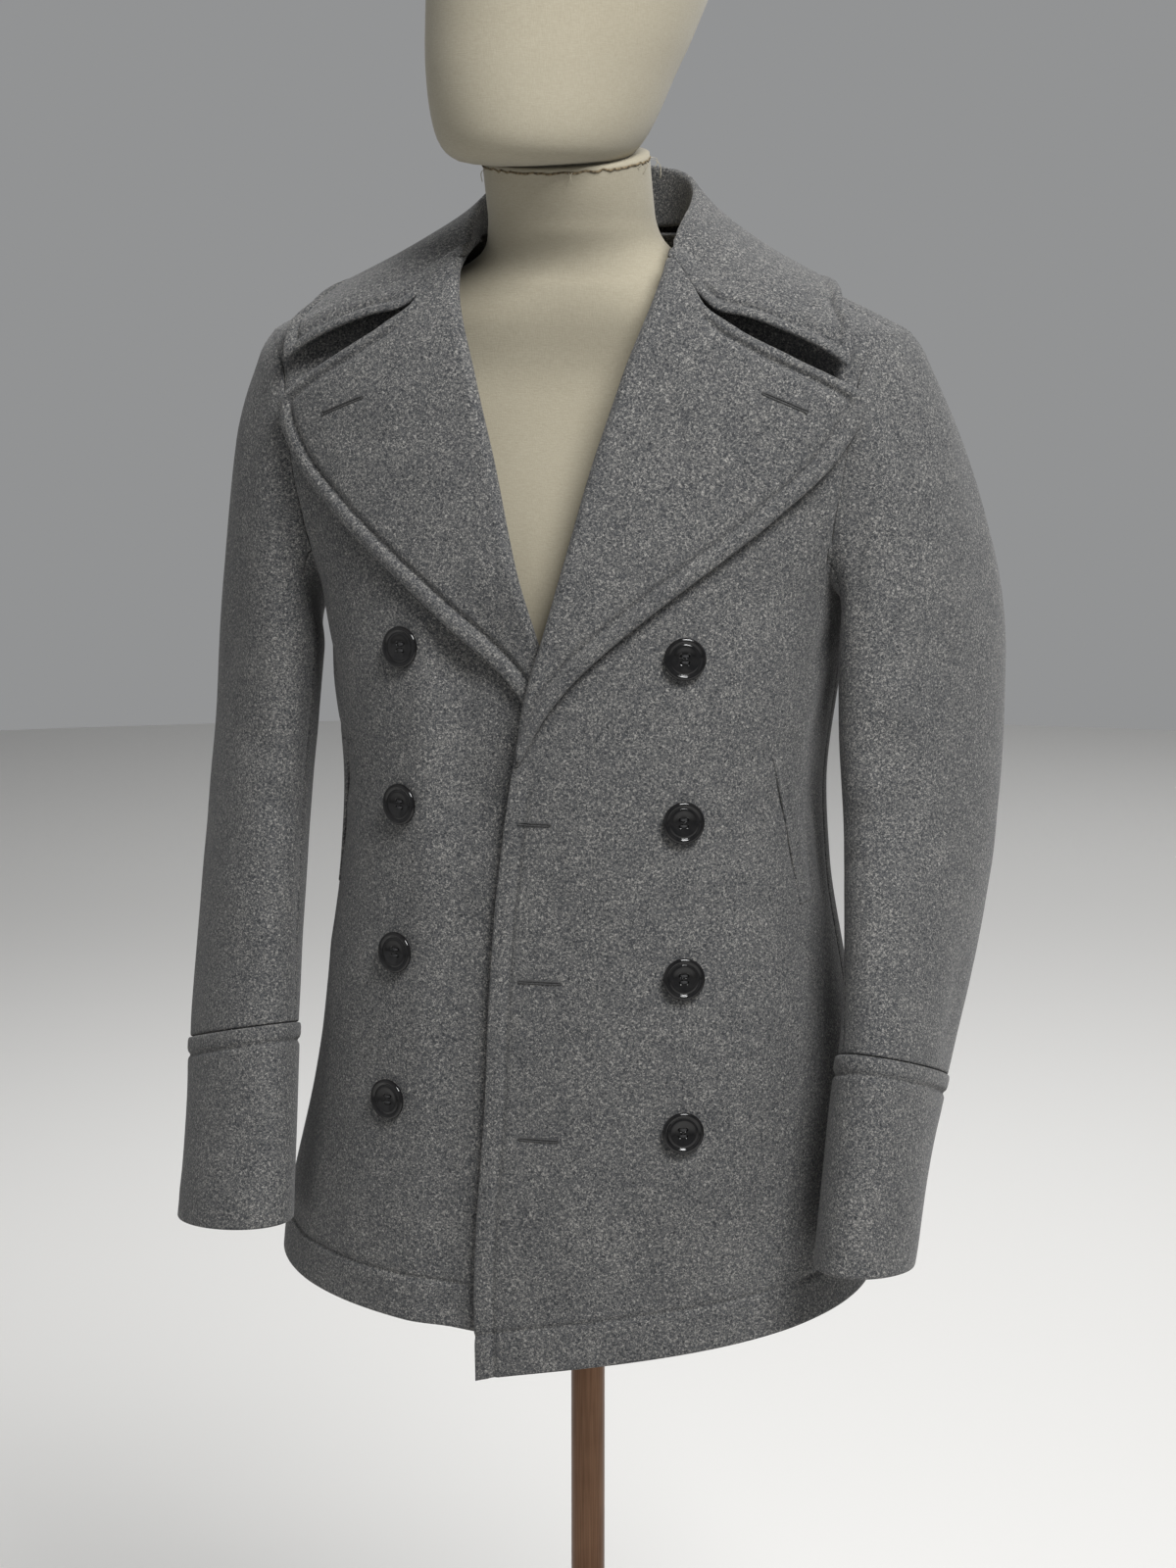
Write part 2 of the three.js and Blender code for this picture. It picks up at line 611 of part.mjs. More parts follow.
function sleeve(arm, side, low, high) {
  const count = Math.round((high - low) / ARM_STEP);
  const split = 0.2; // degrees kept clear at each seam of the sleeve
  const turns = range(count + 1, (i) => THREE.MathUtils.clamp(low + i * ARM_STEP, low + split, high - split));
  const step = 2;
  const pointsAt = (turn) => sleeveLine(arm, turn).points;
  const lines = turns.map((turn) => {
    const here = sleeveLine(arm, turn);
    const before = pointsAt(turn - step);
    const after = pointsAt(turn + step);
    const under = underarm(turn);
    const normals = here.points.map((point, i) => {
      const round = after[i].clone().sub(before[i]);
      const next = here.points[Math.min(i + 1, here.points.length - 1)];
      const normal = round.cross(next.clone().sub(here.points[Math.max(i - 1, 0)])).normalize();
      return i > 0 ? normal : here.startNormal.clone().lerp(normal, under).normalize();
    });
    return { points: here.points, normals };
  });
  const rows = lines[0].points.length;
  const grid = range(rows, (r) => lines.map((line) => line.points[r]));
  const normals = range(rows, (r) => lines.map((line) => line.normals[r]));
  const inner = wallOf(grid, normals, CLOTH_WALL);
  return solidBetween(mirrorGrid(grid, side), mirrorGrid(inner, side));
}

// Cuff: the band at the wrist, turned back and standing proud of the sleeve
function cuff(arm, side) {
  const sides = 360 / ARM_STEP;
  const end = arm[arm.length - 1].down;
  const downs = [end - CUFF_DEPTH, end - CUFF_DEPTH * 0.62, end - CUFF_DEPTH * 0.3, end];
  const ring = (down, inset) => range(sides, (s) => armPoint(arm, down, (360 * s) / sides, inset));
  const outer = downs.map((down) => ring(down, -1.5));
  const inner = downs.map((down) => ring(down, CUFF_WALL - 1.5)).reverse();
  const rings = [...outer, ...inner].map((points) => (side > 0 ? points : points.map(mirrored)));
  const count = rings.length;
  const faces = [];
  for (let r = 0; r < count; r += 1) {
    for (let s = 0; s < sides; s += 1) {
      const [row, nextRow] = [r * sides, ((r + 1) % count) * sides];
      const next = (s + 1) % sides;
      faces.push(row + s, row + next, nextRow + next, row + s, nextRow + next, nextRow + s);
    }
  }
  return closedGeometry(rings.flat(), faces);
}

// Slanted pocket welt, stitched on to the front
function pocketWelt(side) {
  const rows = 6;
  const columns = 3;
  const grid = [];
  const normals = [];
  for (let r = 0; r <= rows; r += 1) {
    const v = r / rows;
    const down = blend(POCKET.downTop, POCKET.downLow, v);
    const out = blend(POCKET.outTop, POCKET.outLow, v);
    const edge = angleAt(out, down);
    const radius = bodyPoint(edge, down).setZ(0).length();
    const line = range(columns + 1, (c) => {
      const angle = edge + THREE.MathUtils.radToDeg((POCKET.width * c) / columns / radius);
      const normal = bodyNormal(angle, down);
      return { point: bodyPoint(angle, down).addScaledVector(normal, POCKET.wall + POCKET_LIFT), normal };
    });
    grid.push(line.map((item) => item.point));
    normals.push(line.map((item) => item.normal));
  }
  const inner = wallOf(grid, normals, POCKET.wall);
  return solidBetween(hungGrid(grid, side), hungGrid(inner, side));
}

function toManifold(geometry) {
  const plain = geometry.clone();
  plain.deleteAttribute("normal");
  plain.deleteAttribute("uv");
  const merged = mergeVertices(plain, 1e-4);
  const vertProperties = new Float32Array(merged.attributes.position.array);
  const triVerts = new Uint32Array(merged.index.array);
  return new wasm.Manifold(new wasm.Mesh({ numProp: 3, vertProperties, triVerts }));
}

function fromManifold(solid) {
  const mesh = solid.getMesh();
  const geometry = new THREE.BufferGeometry();
  geometry.setAttribute("position", new THREE.BufferAttribute(new Float32Array(mesh.vertProperties), 3));
  geometry.setIndex(Array.from(mesh.triVerts));
  return geometry;
}

// Four-hole button with a raised rim, turned about Z and lying on z = 0
function buttonGeometry() {
  const radius = BUTTON_DIAMETER / 2;
  const outline = [
    [0, 0],
    [radius * 0.8, 0],
    [radius, BUTTON_THICK * 0.45],
    [radius * 0.93, BUTTON_THICK],
    [radius * 0.76, BUTTON_THICK],
    [radius * 0.68, BUTTON_THICK * 0.62],
    [0, BUTTON_THICK * 0.55],
  ];
  const disc = new THREE.LatheGeometry(outline.map(([x, y]) => new THREE.Vector2(x, y)), 24);
  disc.rotateX(Math.PI / 2);
  let button = toManifold(disc);
  for (const [x, y] of [[1, 1], [1, -1], [-1, 1], [-1, -1]]) {
    const drill = new THREE.CylinderGeometry(BUTTON_HOLE.radius, BUTTON_HOLE.radius, BUTTON_THICK * 3, 6);
    drill.rotateX(Math.PI / 2);
    drill.translate(x * BUTTON_HOLE.out, y * BUTTON_HOLE.out, 0);
    button = button.subtract(toManifold(drill));
  }
  return fromManifold(button);
}

function addButtons() {
  const geometry = buttonGeometry();
  BUTTONS.forEach((row, index) => {
    const pair = [
      { name: "left", side: 1, down: row.left, out: row.leftOut },
      { name: "right", side: -1, down: row.right, out: row.rightOut },
    ];
    for (const { name, side, down, out } of pair) {
      const angle = angleAt(out, down);
      const normal = bodyNormal(angle, down);
      const place = bodyPoint(angle, down).addScaledVector(normal, BUTTON_LIFT);
      const mesh = add(`button_${name}_${index + 1}`, geometry, horn);
      const facing = side > 0 ? normal : mirrored(normal);
      mesh.quaternion.setFromUnitVectors(new THREE.Vector3(0, 0, 1), facing);
      mesh.position.copy(hung(place, side));
    }
  });
}

// Form: torso and neck in one smooth body
function torso() {
  const sides = 28;
  const ring = (down, inset) => range(sides, (s) => bodyPoint((360 * s) / sides, down, inset));
  const bottom = ring(TORSO_END, TORSO_EASE + TORSO_EDGE);
  const body = TORSO_ROWS.map((down) => {
    const shoulder = (1 - easeStep(SHOULDER_END, ARMPIT, down)) * easeStep(30, 110, down);
    return ring(down, TORSO_EASE + TORSO_SHOULDER_EASE * shoulder);
  });
  const neck = NECK.map((row) => range(sides, (s) => {
    const turn = (2 * Math.PI * s) / sides;
    const x = row.half * Math.sin(turn);
    const y = -row.ahead - row.deep * Math.cos(turn);
    return new THREE.Vector3(x, y, SHOULDER_Z + row.up);
  }));
  return solidOfRings([bottom, ...body, ...neck.slice(1)]);
}

function head() {
  const sides = 28;
  const twist = THREE.MathUtils.degToRad(HEAD_TURN);
  const rings = HEAD.map((row) => range(sides, (s) => {
    const turn = (2 * Math.PI * s) / sides;
    const side = row.wide * Math.sin(turn);
    const ahead = row.ahead + row.deep * Math.cos(turn);
    const x = HEAD_OUT + side * Math.cos(twist) + ahead * Math.sin(twist);
    const y = -HEAD_AHEAD + side * Math.sin(twist) - ahead * Math.cos(twist);
    return new THREE.Vector3(x, y, SHOULDER_Z + HEAD_UP + row.up);
  }));
  return solidOfRings(rings);
}

function turned(outline, sides) {
  const geometry = new THREE.LatheGeometry(outline.map(([x, y]) => new THREE.Vector2(x, y)), sides);
  geometry.rotateX(Math.PI / 2);
  return geometry;
}

function addStand() {
  const base = [
    [0, 0],
    [BASE_RADIUS - 3, 0],
    [BASE_RADIUS, 3],
    [BASE_RADIUS, BASE_THICK - 5],
    [BASE_RADIUS - 6, BASE_THICK],
    [0, BASE_THICK + 3],
  ];
  add("stand_base", turned(base, 48), bronze);
  const foot = BASE_THICK + 3 + SEAM_GAP;
  const collarOutline = [
    [POLE_RADIUS + SEAM_GAP, foot],
    [34, foot],
    [32, foot + 8],
    [POLE_RADIUS + 7, foot + 26],
    [POLE_RADIUS + 5, foot + 40],
    [POLE_RADIUS + SEAM_GAP, foot + 40],
    [POLE_RADIUS + SEAM_GAP, foot],
  ];
  add("stand_collar", turned(collarOutline, 32), bronze);
  const poleTop = SHOULDER_Z - TORSO_END - SEAM_GAP;
  const pole = [
    [0, foot],
    [POLE_RADIUS, foot],
    [POLE_RADIUS, poleTop],
    [0, poleTop],
  ];
  add("stand_pole", turned(pole, 32), bronze);
}

addStand();
add("form_torso", torso(), linen);
add("form_head", head(), linen);
add("back_left", backPanel(1), wool);
add("back_right", backPanel(-1), wool);
add("front_left", frontPanel(1, true), wool);
add("front_right", frontPanel(-1, false), wool);
add("lapel_left", lapel(1, true), wool);
add("lapel_right", lapel(-1, false), wool);
add("collar", collar(), wool);
for (const [name, arm, side] of [["left", ARM_LEFT, 1], ["right", ARM_RIGHT, -1]]) {
  add(`sleeve_upper_${name}`, sleeve(arm, side, -2 * ARM_STEP, 11 * ARM_STEP), wool);
  add(`sleeve_under_${name}`, sleeve(arm, side, 11 * ARM_STEP, 18 * ARM_STEP), wool);
  add(`cuff_${name}`, cuff(arm, side), wool);
  add(`pocket_welt_${name}`, pocketWelt(side), wool);
}
addButtons();

export default coat;
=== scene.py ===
# A grey wool pea coat, worn open on a limbless dress form with a linen egg head, a pole and a
# round base. Sizes are in millimetres and become metres when a mesh is made. The coat faces -Y and
# the wearer's left is +X. "down" is the distance below the high shoulder point, and "out" the
# distance from the centre.
import math
import bmesh
import bpy
import numpy as np
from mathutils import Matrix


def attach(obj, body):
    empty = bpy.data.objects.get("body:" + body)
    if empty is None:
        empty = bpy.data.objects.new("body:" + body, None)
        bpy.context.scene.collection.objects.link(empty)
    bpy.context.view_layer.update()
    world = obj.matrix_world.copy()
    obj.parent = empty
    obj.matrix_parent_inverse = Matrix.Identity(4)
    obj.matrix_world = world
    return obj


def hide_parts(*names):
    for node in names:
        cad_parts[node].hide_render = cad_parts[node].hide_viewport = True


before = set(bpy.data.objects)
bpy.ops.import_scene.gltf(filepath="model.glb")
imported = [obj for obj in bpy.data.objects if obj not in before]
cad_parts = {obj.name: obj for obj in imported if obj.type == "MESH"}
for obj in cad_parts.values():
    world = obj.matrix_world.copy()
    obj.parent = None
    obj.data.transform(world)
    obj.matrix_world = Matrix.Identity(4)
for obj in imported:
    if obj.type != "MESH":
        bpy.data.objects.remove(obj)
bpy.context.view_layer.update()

# ---- View and studio ----
# The camera stands at breast height, a little to the wearer's left, and looks slightly down.
# A pale floor, a pale room and four large soft lights stand in for a plain studio.
MM = 0.001
CAMERA_AROUND = 13.3
CAMERA_DISTANCE = 2.150
CAMERA_HEIGHT = 1.460
CAMERA_PITCH = 10.3
CAMERA_LENS = 46.5
SENSOR = 24.0
FLOOR_RADIUS = 7000
FLOOR_THICK = 20
ROUND_SIDES = 96
FLOOR_COLOUR = (0.82, 0.81, 0.79, 1)
ROOM_COLOUR = (0.80, 0.81, 0.82, 1)
ROOM_STRENGTH = 0.36
LIGHTS = {  # place and aim in metres, size in metres, power in watts
    "light_key": ((1.35, -1.6, 3.4), (0, 0, 1.15), 1.1, 120),
    "light_fill": ((-2.4, -2.2, 1.9), (0, 0, 1.1), 2.6, 4),
    "light_back": ((-0.6, 2.6, 2.8), (0, 0, 1.2), 2.4, 26),
    "light_floor": ((0.6, 4.4, 4.0), (0.6, 3.6, 0), 5.0, 100),
}


def aim(thing, target):
    away = np.array(thing.location) - np.array(target)
    flat = math.hypot(away[0], away[1])
    thing.rotation_euler = (math.atan2(flat, away[2]), 0, math.atan2(away[0], -away[1]))


camera = bpy.data.objects.new("camera", bpy.data.cameras.new("camera"))
bpy.context.scene.collection.objects.link(camera)
around = math.radians(CAMERA_AROUND)
camera_way = np.array([math.sin(around), -math.cos(around)])
camera.location = (*(CAMERA_DISTANCE * camera_way), CAMERA_HEIGHT)
camera.rotation_euler = (math.radians(90 - CAMERA_PITCH), 0, around)
camera.data.sensor_fit = "VERTICAL"
camera.data.sensor_height = SENSOR
camera.data.lens = CAMERA_LENS
bpy.context.scene.camera = camera
bpy.context.scene.view_settings.view_transform = "Standard"

for light_name, (place, target, size, power) in LIGHTS.items():
    light = bpy.data.objects.new(light_name, bpy.data.lights.new(light_name, "AREA"))
    bpy.context.scene.collection.objects.link(light)
    light.location = place
    light.data.size = size
    light.data.energy = power
    aim(light, target)

room = bpy.data.worlds.new("room")
bpy.context.scene.world = room
room.use_nodes = True
room.node_tree.nodes["Background"].inputs["Color"].default_value = ROOM_COLOUR
room.node_tree.nodes["Background"].inputs["Strength"].default_value = ROOM_STRENGTH


class Wire:
    """A shader socket that does sums: 0.2 + wire adds the Math node that works it out."""

    def __init__(self, finish, socket):
        self.finish = finish
        self.socket = socket

    def maths(self, operation, first, second):
        return self.finish.node("ShaderNodeMath", {"operation": operation}, {0: first, 1: second})

    def __add__(self, other):
        return self.maths("ADD", self, other)

    def __radd__(self, other):
        return self.maths("ADD", other, self)

    def __mul__(self, other):
        return self.maths("MULTIPLY", self, other)

    def __rmul__(self, other):
        return self.maths("MULTIPLY", other, self)


class Finish:
    """A material: even values go straight on the shader, and changing ones through wires."""

    def __init__(self, name, **even):
        self.material = bpy.data.materials.new(name)
        self.material.use_nodes = True
        self.tree = self.material.node_tree
        self.shader = self.tree.nodes["Principled BSDF"]
        for socket, value in even.items():
            self.shader.inputs[socket.replace("_", " ")].default_value = value

    def node(self, kind, settings, sockets, out=0):
        made = self.tree.nodes.new(kind)
        for key, value in settings.items():
            if key == "stops":
                ramp = made.color_ramp
                while len(ramp.elements) < len(value):
                    ramp.elements.new(0.5)
                for element, (place, colour) in zip(ramp.elements, value):
                    element.position = place
                    element.color = (*colour, 1)
            else:
                setattr(made, key, value)
        for key, value in sockets.items():
            if isinstance(value, Wire):
                self.tree.links.new(value.socket, made.inputs[key])
            else:
                made.inputs[key].default_value = value
        return Wire(self, made.outputs[out])

    def place(self, scale):
        spot = self.node("ShaderNodeTexCoord", {}, {}, "Object")
        return self.node("ShaderNodeMapping", {}, {"Vector": spot, "Scale": scale})

    def noise(self, scale, detail, stretch=(1, 1, 1), distortion=0.0):
        sockets = {"Scale": scale, "Detail": detail, "Distortion": distortion}
        return self.node("ShaderNodeTexNoise", {}, {"Vector": self.place(stretch), **sockets}, "Fac")

    def ramp(self, value, *stops):
        return self.node("ShaderNodeValToRGB", {"stops": stops}, {"Fac": value})

    def feed(self, **wires):
        for socket, wire in wires.items():
            self.tree.links.new(wire.socket, self.shader.inputs[socket.replace("_", " ")])

    def bump(self, height, distance, strength):
        sockets = {"Height": height, "Distance": distance, "Strength": strength}
        self.feed(Normal=self.node("ShaderNodeBump", {}, sockets))


def make_mesh(name, points, faces):
    """One smooth object from points in millimetres, its faces turned to look outwards."""
    mesh = bpy.data.meshes.new(name)
    mesh.from_pydata((np.asarray(points, float) * MM).tolist(), [], [list(face) for face in faces])
    shape = bmesh.new()
    shape.from_mesh(mesh)
    bmesh.ops.recalc_face_normals(shape, faces=shape.faces)
    shape.to_mesh(mesh)
    shape.free()
    mesh.polygons.foreach_set("use_smooth", [True] * len(mesh.polygons))
    piece = bpy.data.objects.new(name, mesh)
    bpy.context.scene.collection.objects.link(piece)
    return piece


def ring_faces(rings, sides):
    """Quads of a stack of closed rings of points."""
    r, s = np.meshgrid(np.arange(rings - 1), np.arange(sides), indexing="ij")
    near, far = r * sides + s, r * sides + (s + 1) % sides
    return np.stack([near, far, far + sides, near + sides], -1).reshape(-1, 4).tolist()


def capped(name, rings, tips=None):
    """A closed body from a stack of rings of points, with a fan round a tip at both ends."""
    rings = np.array(rings)
    count, sides = rings.shape[:2]
    if tips is None:
        tips = [rings[0].mean(0), rings[-1].mean(0)]
    points = np.concatenate([rings.reshape(-1, 3), tips])
    faces = ring_faces(count, sides)
    for start, tip in ((0, count * sides), ((count - 1) * sides, count * sides + 1)):
        faces += [(start + s, start + (s + 1) % sides, tip) for s in range(sides)]
    return make_mesh(name, points, faces)


def turned(name, outline, sides):
    """A solid of revolution about Z, from (radius, height) points that start and end on the axis."""
    (_, low), *rims, (_, high) = outline
    turns = np.arange(sides) * 2 * math.pi / sides
    rings = [[(r * math.cos(a), r * math.sin(a), h) for a in turns] for r, h in rims]
    return capped(name, rings, [(0, 0, low), (0, 0, high)])


def finished(piece, finish, slot, *nodes):
    """Gives a piece its material and its body, and hides the solids that it stands for. The slot is not
    used.
    """
    piece.data.materials.append(finish.material)
    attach(piece, "root")
    if nodes:
        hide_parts(*nodes)


floor_paint = Finish("floor_paint", Base_Color=FLOOR_COLOUR, Roughness=0.85)
floor_outline = [(0, 0), (FLOOR_RADIUS, 0), (FLOOR_RADIUS, -FLOOR_THICK), (0, -FLOOR_THICK)]
floor = turned("floor", floor_outline, ROUND_SIDES)
floor.data.materials.append(floor_paint.material)

# ---- Stand ----
# A heavy round steel base, a foot collar and one pole of 25 mm tube, all in brushed bronze lacquer.
# The pole is clamped in the foot collar below and runs up into the bottom of the form.
POLE_RADIUS = 12.5
POLE_TOP = 859.6
POLE_RINGS = (240, 460, 680)  # levels of extra rings, which keep the shading even along the tube
POLE_SIDES = 64
BASE_RADIUS = 175
BASE_THICK = 14
BASE_SIDES = 160
FOOT = BASE_THICK + 3.4
FOOT_COLLAR = (  # radius, and height above the foot
    (0, 0), (33, 0), (34, 1), (33.8, 4), (32, 7.5), (27, 11), (22, 17), (19.8, 25),
    (19, 27.5), (18.2, 31), (18, 38), (17.2, 39.6), (15.8, 40), (0, 40),
)

bronze = Finish("bronze", Metallic=0.85)
brushing = bronze.noise(900, 3, (1, 1, 0.02))
patina = bronze.noise(16, 3)
lacquer = brushing * 0.5 + patina * 0.5
bronze.feed(
    Base_Color=bronze.ramp(lacquer, (0.3, (0.075, 0.036, 0.020)), (0.7, (0.20, 0.115, 0.070))),
    Roughness=0.24 + brushing * 0.22,
)
bronze.bump(brushing, 0.00008, 0.5)

base_outline = [
    (0, 0), (BASE_RADIUS - 3, 0), (BASE_RADIUS - 0.8, 0.8), (BASE_RADIUS, 3),
    (BASE_RADIUS, BASE_THICK - 5), (BASE_RADIUS - 1.2, BASE_THICK - 2.2),
    (BASE_RADIUS - 3.2, BASE_THICK - 0.6), (BASE_RADIUS - 6, BASE_THICK),
    (110, BASE_THICK + 1.2), (40, BASE_THICK + 2.8), (0, BASE_THICK + 3),
]
finished(turned("stand_base_plate", base_outline, BASE_SIDES), bronze, "bronze", "stand_base")

collar_outline = [(radius, FOOT + up) for radius, up in FOOT_COLLAR]
finished(turned("stand_foot_collar", collar_outline, ROUND_SIDES), bronze, "bronze", "stand_collar")

pole_outline = [(0, FOOT + 2), (POLE_RADIUS, FOOT + 2), *((POLE_RADIUS, up) for up in POLE_RINGS)]
pole_outline += [(POLE_RADIUS, POLE_TOP - 1), (POLE_RADIUS - 1, POLE_TOP), (0, POLE_TOP)]
finished(turned("stand_tube", pole_outline, POLE_SIDES), bronze, "bronze", "stand_pole")

# ---- Form: torso and neck ----
# A tailor's torso with no arms, padded and covered in smooth cream linen, closed flat below.
# Its sections follow the coat's body from inside; the neck leans forward and ends in a raw cut edge.
SHOULDER_Z = 1460
SHOULDER_END = 68
ARMPIT = 246


def table(names, *rows):
    """Rows of numbers under named columns."""
    return dict(zip(names.split(), np.array(rows, float).T))


def curve(rows, key, at, name):
    """Smooth curve through one column of a table, with no overshoot between its rows."""
    places, values = rows[key], rows[name]
    steps = np.diff(places)
    slopes = np.diff(values) / steps
    product = slopes[:-1] * slopes[1:]
    total = np.where(product > 0, slopes[:-1] + slopes[1:], 1)
    inner = np.where(product > 0, 2 * product / total, 0)
    tangents = np.concatenate([slopes[:1], inner, slopes[-1:]])
    at = np.clip(at, places[0], places[-1])
    i = np.clip(np.searchsorted(places, at, side="right") - 1, 0, len(steps) - 1)
    width = steps[i]
    t = (at - places[i]) / width
    rise = values[i + 1] - values[i]
    start, end = tangents[i] * width, tangents[i + 1] * width
    return values[i] + t * (start + t * (3 * rise - 2 * start - end + t * (start + end - 2 * rise)))


def columns(rows, key, at, names):
    """Several columns of a table at the same places."""
    return (curve(rows, key, at, name) for name in names.split())


def blend(start, end, part):
    return start + (end - start) * part


def ease(low, high, value):
    part = np.clip((value - low) / (high - low), 0, 1)
    return part * part * (3 - 2 * part)


def unit(vectors):
    return vectors / np.maximum(np.linalg.norm(vectors, axis=-1, keepdims=True), 1e-9)


BODY = table(
    "down half front back square",
    (-8, 66, 56, 66, 2.0),
    (0, 78, 62, 74, 2.05),
    (15, 112, 74, 84, 2.1),
    (30, 147, 84, 91, 2.15),
    (45, 181, 93, 97, 2.2),
    (58, 208, 99, 102, 2.25),
    (68, 226, 103, 105, 2.3),
    (85, 237, 109, 110, 2.3),
    (110, 240, 116, 116, 2.35),
    (150, 231, 125, 121, 2.35),
    (200, 210, 135, 123, 2.4),
    (246, 188, 142, 121, 2.45),
    (310, 179, 147, 113, 2.5),
    (385, 171, 150, 106, 2.5),
    (440, 174, 152, 109, 2.5),
    (520, 187, 156, 122, 2.45),
    (620, 202, 161, 137, 2.25),
    (738, 220, 167, 150, 2.1),
    (800, 223, 169, 153, 2.1),
)


def body_point(angle, down, inset=0.0):
    """Point on the body's section: 0 degrees is the centre front, 90 the wearer's left side."""
    angle, down = np.broadcast_arrays(np.asarray(angle, float), np.asarray(down, float))
    turn = np.radians(angle)
    half, front, back, square = columns(BODY, "down", down, "half front back square")
    depth = np.where(np.cos(turn) >= 0, front, back) - inset
    reach = (np.abs(np.sin(turn)) / (half - inset)) ** square + (np.abs(np.cos(turn)) / depth) ** square
    radius = reach ** (-1 / square)
    return np.stack([radius * np.sin(turn), -radius * np.cos(turn), SHOULDER_Z - down], -1)


def body_normal(angle, down):
    round_way = body_point(angle + 0.5, down) - body_point(angle - 0.5, down)
    down_way = body_point(angle, down + 1) - body_point(angle, down - 1)
    return unit(np.cross(down_way, round_way))


NECK = table(
    "up half deep ahead",
    (-36, 80, 70, 2),
    (-30, 74, 66, 4),
    (-8, 62, 59, 14),
    (12, 57.5, 57, 24),
    (52, 57, 57, 41),
)
NECK_TOP = 51
NECK_OUT = -6
NECK_TILT = 10
NECK_BLEND = (60, -4)  # levels between which the shoulders turn into the neck
NECK_STEP = 3
TORSO_EASE = 24
TORSO_SHOULDER_EASE = 26
TORSO_SIDES = 120
TORSO_ROUNDING = ((600, 22), (598, 10), (592, 2))  # down, and how far in, round the lower edge
TORSO_LOWEST = 580
TORSO_STEP = 12

linen = Finish("linen", Roughness=0.9, Sheen_Weight=0.15, Sheen_Roughness=0.5)
warp = linen.noise(1500, 2, (1, 1, 0.16))
weft = linen.noise(1500, 2, (0.16, 0.16, 1))
yellowing = linen.noise(7, 3)
linen.feed(Base_Color=linen.ramp(
    warp * 0.3 + weft * 0.3 + yellowing * 0.4,
    (0.3, (0.275, 0.245, 0.178)),
    (0.7, (0.375, 0.343, 0.262)),
))
linen.bump(warp + weft, 0.0003, 0.35)

torso_turns = np.arange(TORSO_SIDES) * 360 / TORSO_SIDES


def torso_ring(down):
    shoulder = (1 - ease(SHOULDER_END, ARMPIT, down)) * ease(30, 110, down)
    return body_point(torso_turns, down, TORSO_EASE + TORSO_SHOULDER_EASE * shoulder)


def neck_ring(up):
    half, deep, ahead = columns(NECK, "up", up, "half deep ahead")
    turn = np.radians(torso_turns)
    x = half * np.sin(turn) + NECK_OUT * ease(-60, 0, up)
    level = SHOULDER_Z + up - NECK_TILT * np.cos(turn) * ease(0, NECK_TOP, up)
    return np.stack([x, -ahead - deep * np.cos(turn), level], -1)


torso_rings = [body_point(torso_turns, down, TORSO_EASE + inset) for down, inset in TORSO_ROUNDING]
torso_rings += [torso_ring(down) for down in np.arange(TORSO_LOWEST, NECK_BLEND[0] + 1, -TORSO_STEP)]
for down in np.arange(NECK_BLEND[0], -NECK_TOP - 1, -NECK_STEP):
    shoulder_ring = torso_ring(max(down, 2)) * (1, 1, 0) + (0, 0, SHOULDER_Z - down)
    torso_rings.append(blend(shoulder_ring, neck_ring(-down), ease(*NECK_BLEND, down)))
finished(capped("form_torso_linen", torso_rings), linen, "linen", "form_torso")

# ---- Form: head ----
# A faceless egg head of the same linen over a light shell, turned towards the wearer's right.
# Two halves meet in a fine upright seam on each side, and the lower edge sits on the neck's cut end.
HEAD_TURN = -24
HEAD_OUT = -9
HEAD_AHEAD = 46
HEAD_UP = 43
HEAD_SIDES = 256
HEAD = table(
    "up deep wide ahead",
    (0, 30, 26, 22),
    (3, 58, 49, 22),
    (12, 73, 61, 21),
    (30, 84, 69, 17),
    (60, 95, 76, 9),
    (90, 104, 82, -2),
    (125, 112, 86, -14),
    (165, 113, 87, -22),
    (205, 100, 78, -28),
    (235, 75, 60, -30),
    (252, 46, 38, -31),
    (260, 14, 12, -31),
)
HEAD_SEAM = {"turn": -52, "width": 1.5, "depth": 0.8}
HEAD_LOW_RINGS = (0, 0.6, 1.8, 3.5, 6, 9)
HEAD_TOP_RINGS = (236, 242, 247, 251, 255, 258, 260)


def head_point(turn, up):
    deep, wide, ahead = columns(HEAD, "up", up, "deep wide ahead")
    out = 0.0
    for seam in (HEAD_SEAM["turn"], HEAD_SEAM["turn"] + 180):
        astray = (turn - seam + 180) % 360 - 180
        out = out - HEAD_SEAM["depth"] * np.exp(-((astray / HEAD_SEAM["width"]) ** 2))
    rad, faced = np.radians(turn), math.radians(HEAD_TURN)
    side = (wide + out) * np.sin(rad)
    along = ahead + (deep + out) * np.cos(rad)
    x = HEAD_OUT + side * math.cos(faced) + along * math.sin(faced)
    y = -HEAD_AHEAD + side * math.sin(faced) - along * math.cos(faced)
    return np.stack([x, y, np.broadcast_to(SHOULDER_Z + HEAD_UP + up, np.shape(x))], -1)


head_turns = np.arange(HEAD_SIDES) * 360 / HEAD_SIDES
head_ups = np.concatenate([HEAD_LOW_RINGS, np.arange(13, 232, 5), HEAD_TOP_RINGS])
head = capped("form_head_linen", [head_point(head_turns, up) for up in head_ups])
finished(head, linen, "linen", "form_head")

# ---- Form: raw edge of the neck ----
# The linen is cut off raw round the top of the neck, under the head. Its edge has frayed into an
# uneven brown roll, and a few threads have pulled out of the weave and hang down from it.
FRAY = {"below": 3, "ragged": 0.5, "tuck": 0.1, "thick": 0.9}
LOOSE = {"threads": 12, "shortest": 3, "longest": 14, "sway": 4, "out": 0.6, "arch": 3.0, "thick": 0.28}
THREAD_SIDES = 6
draw = np.random.default_rng(5)

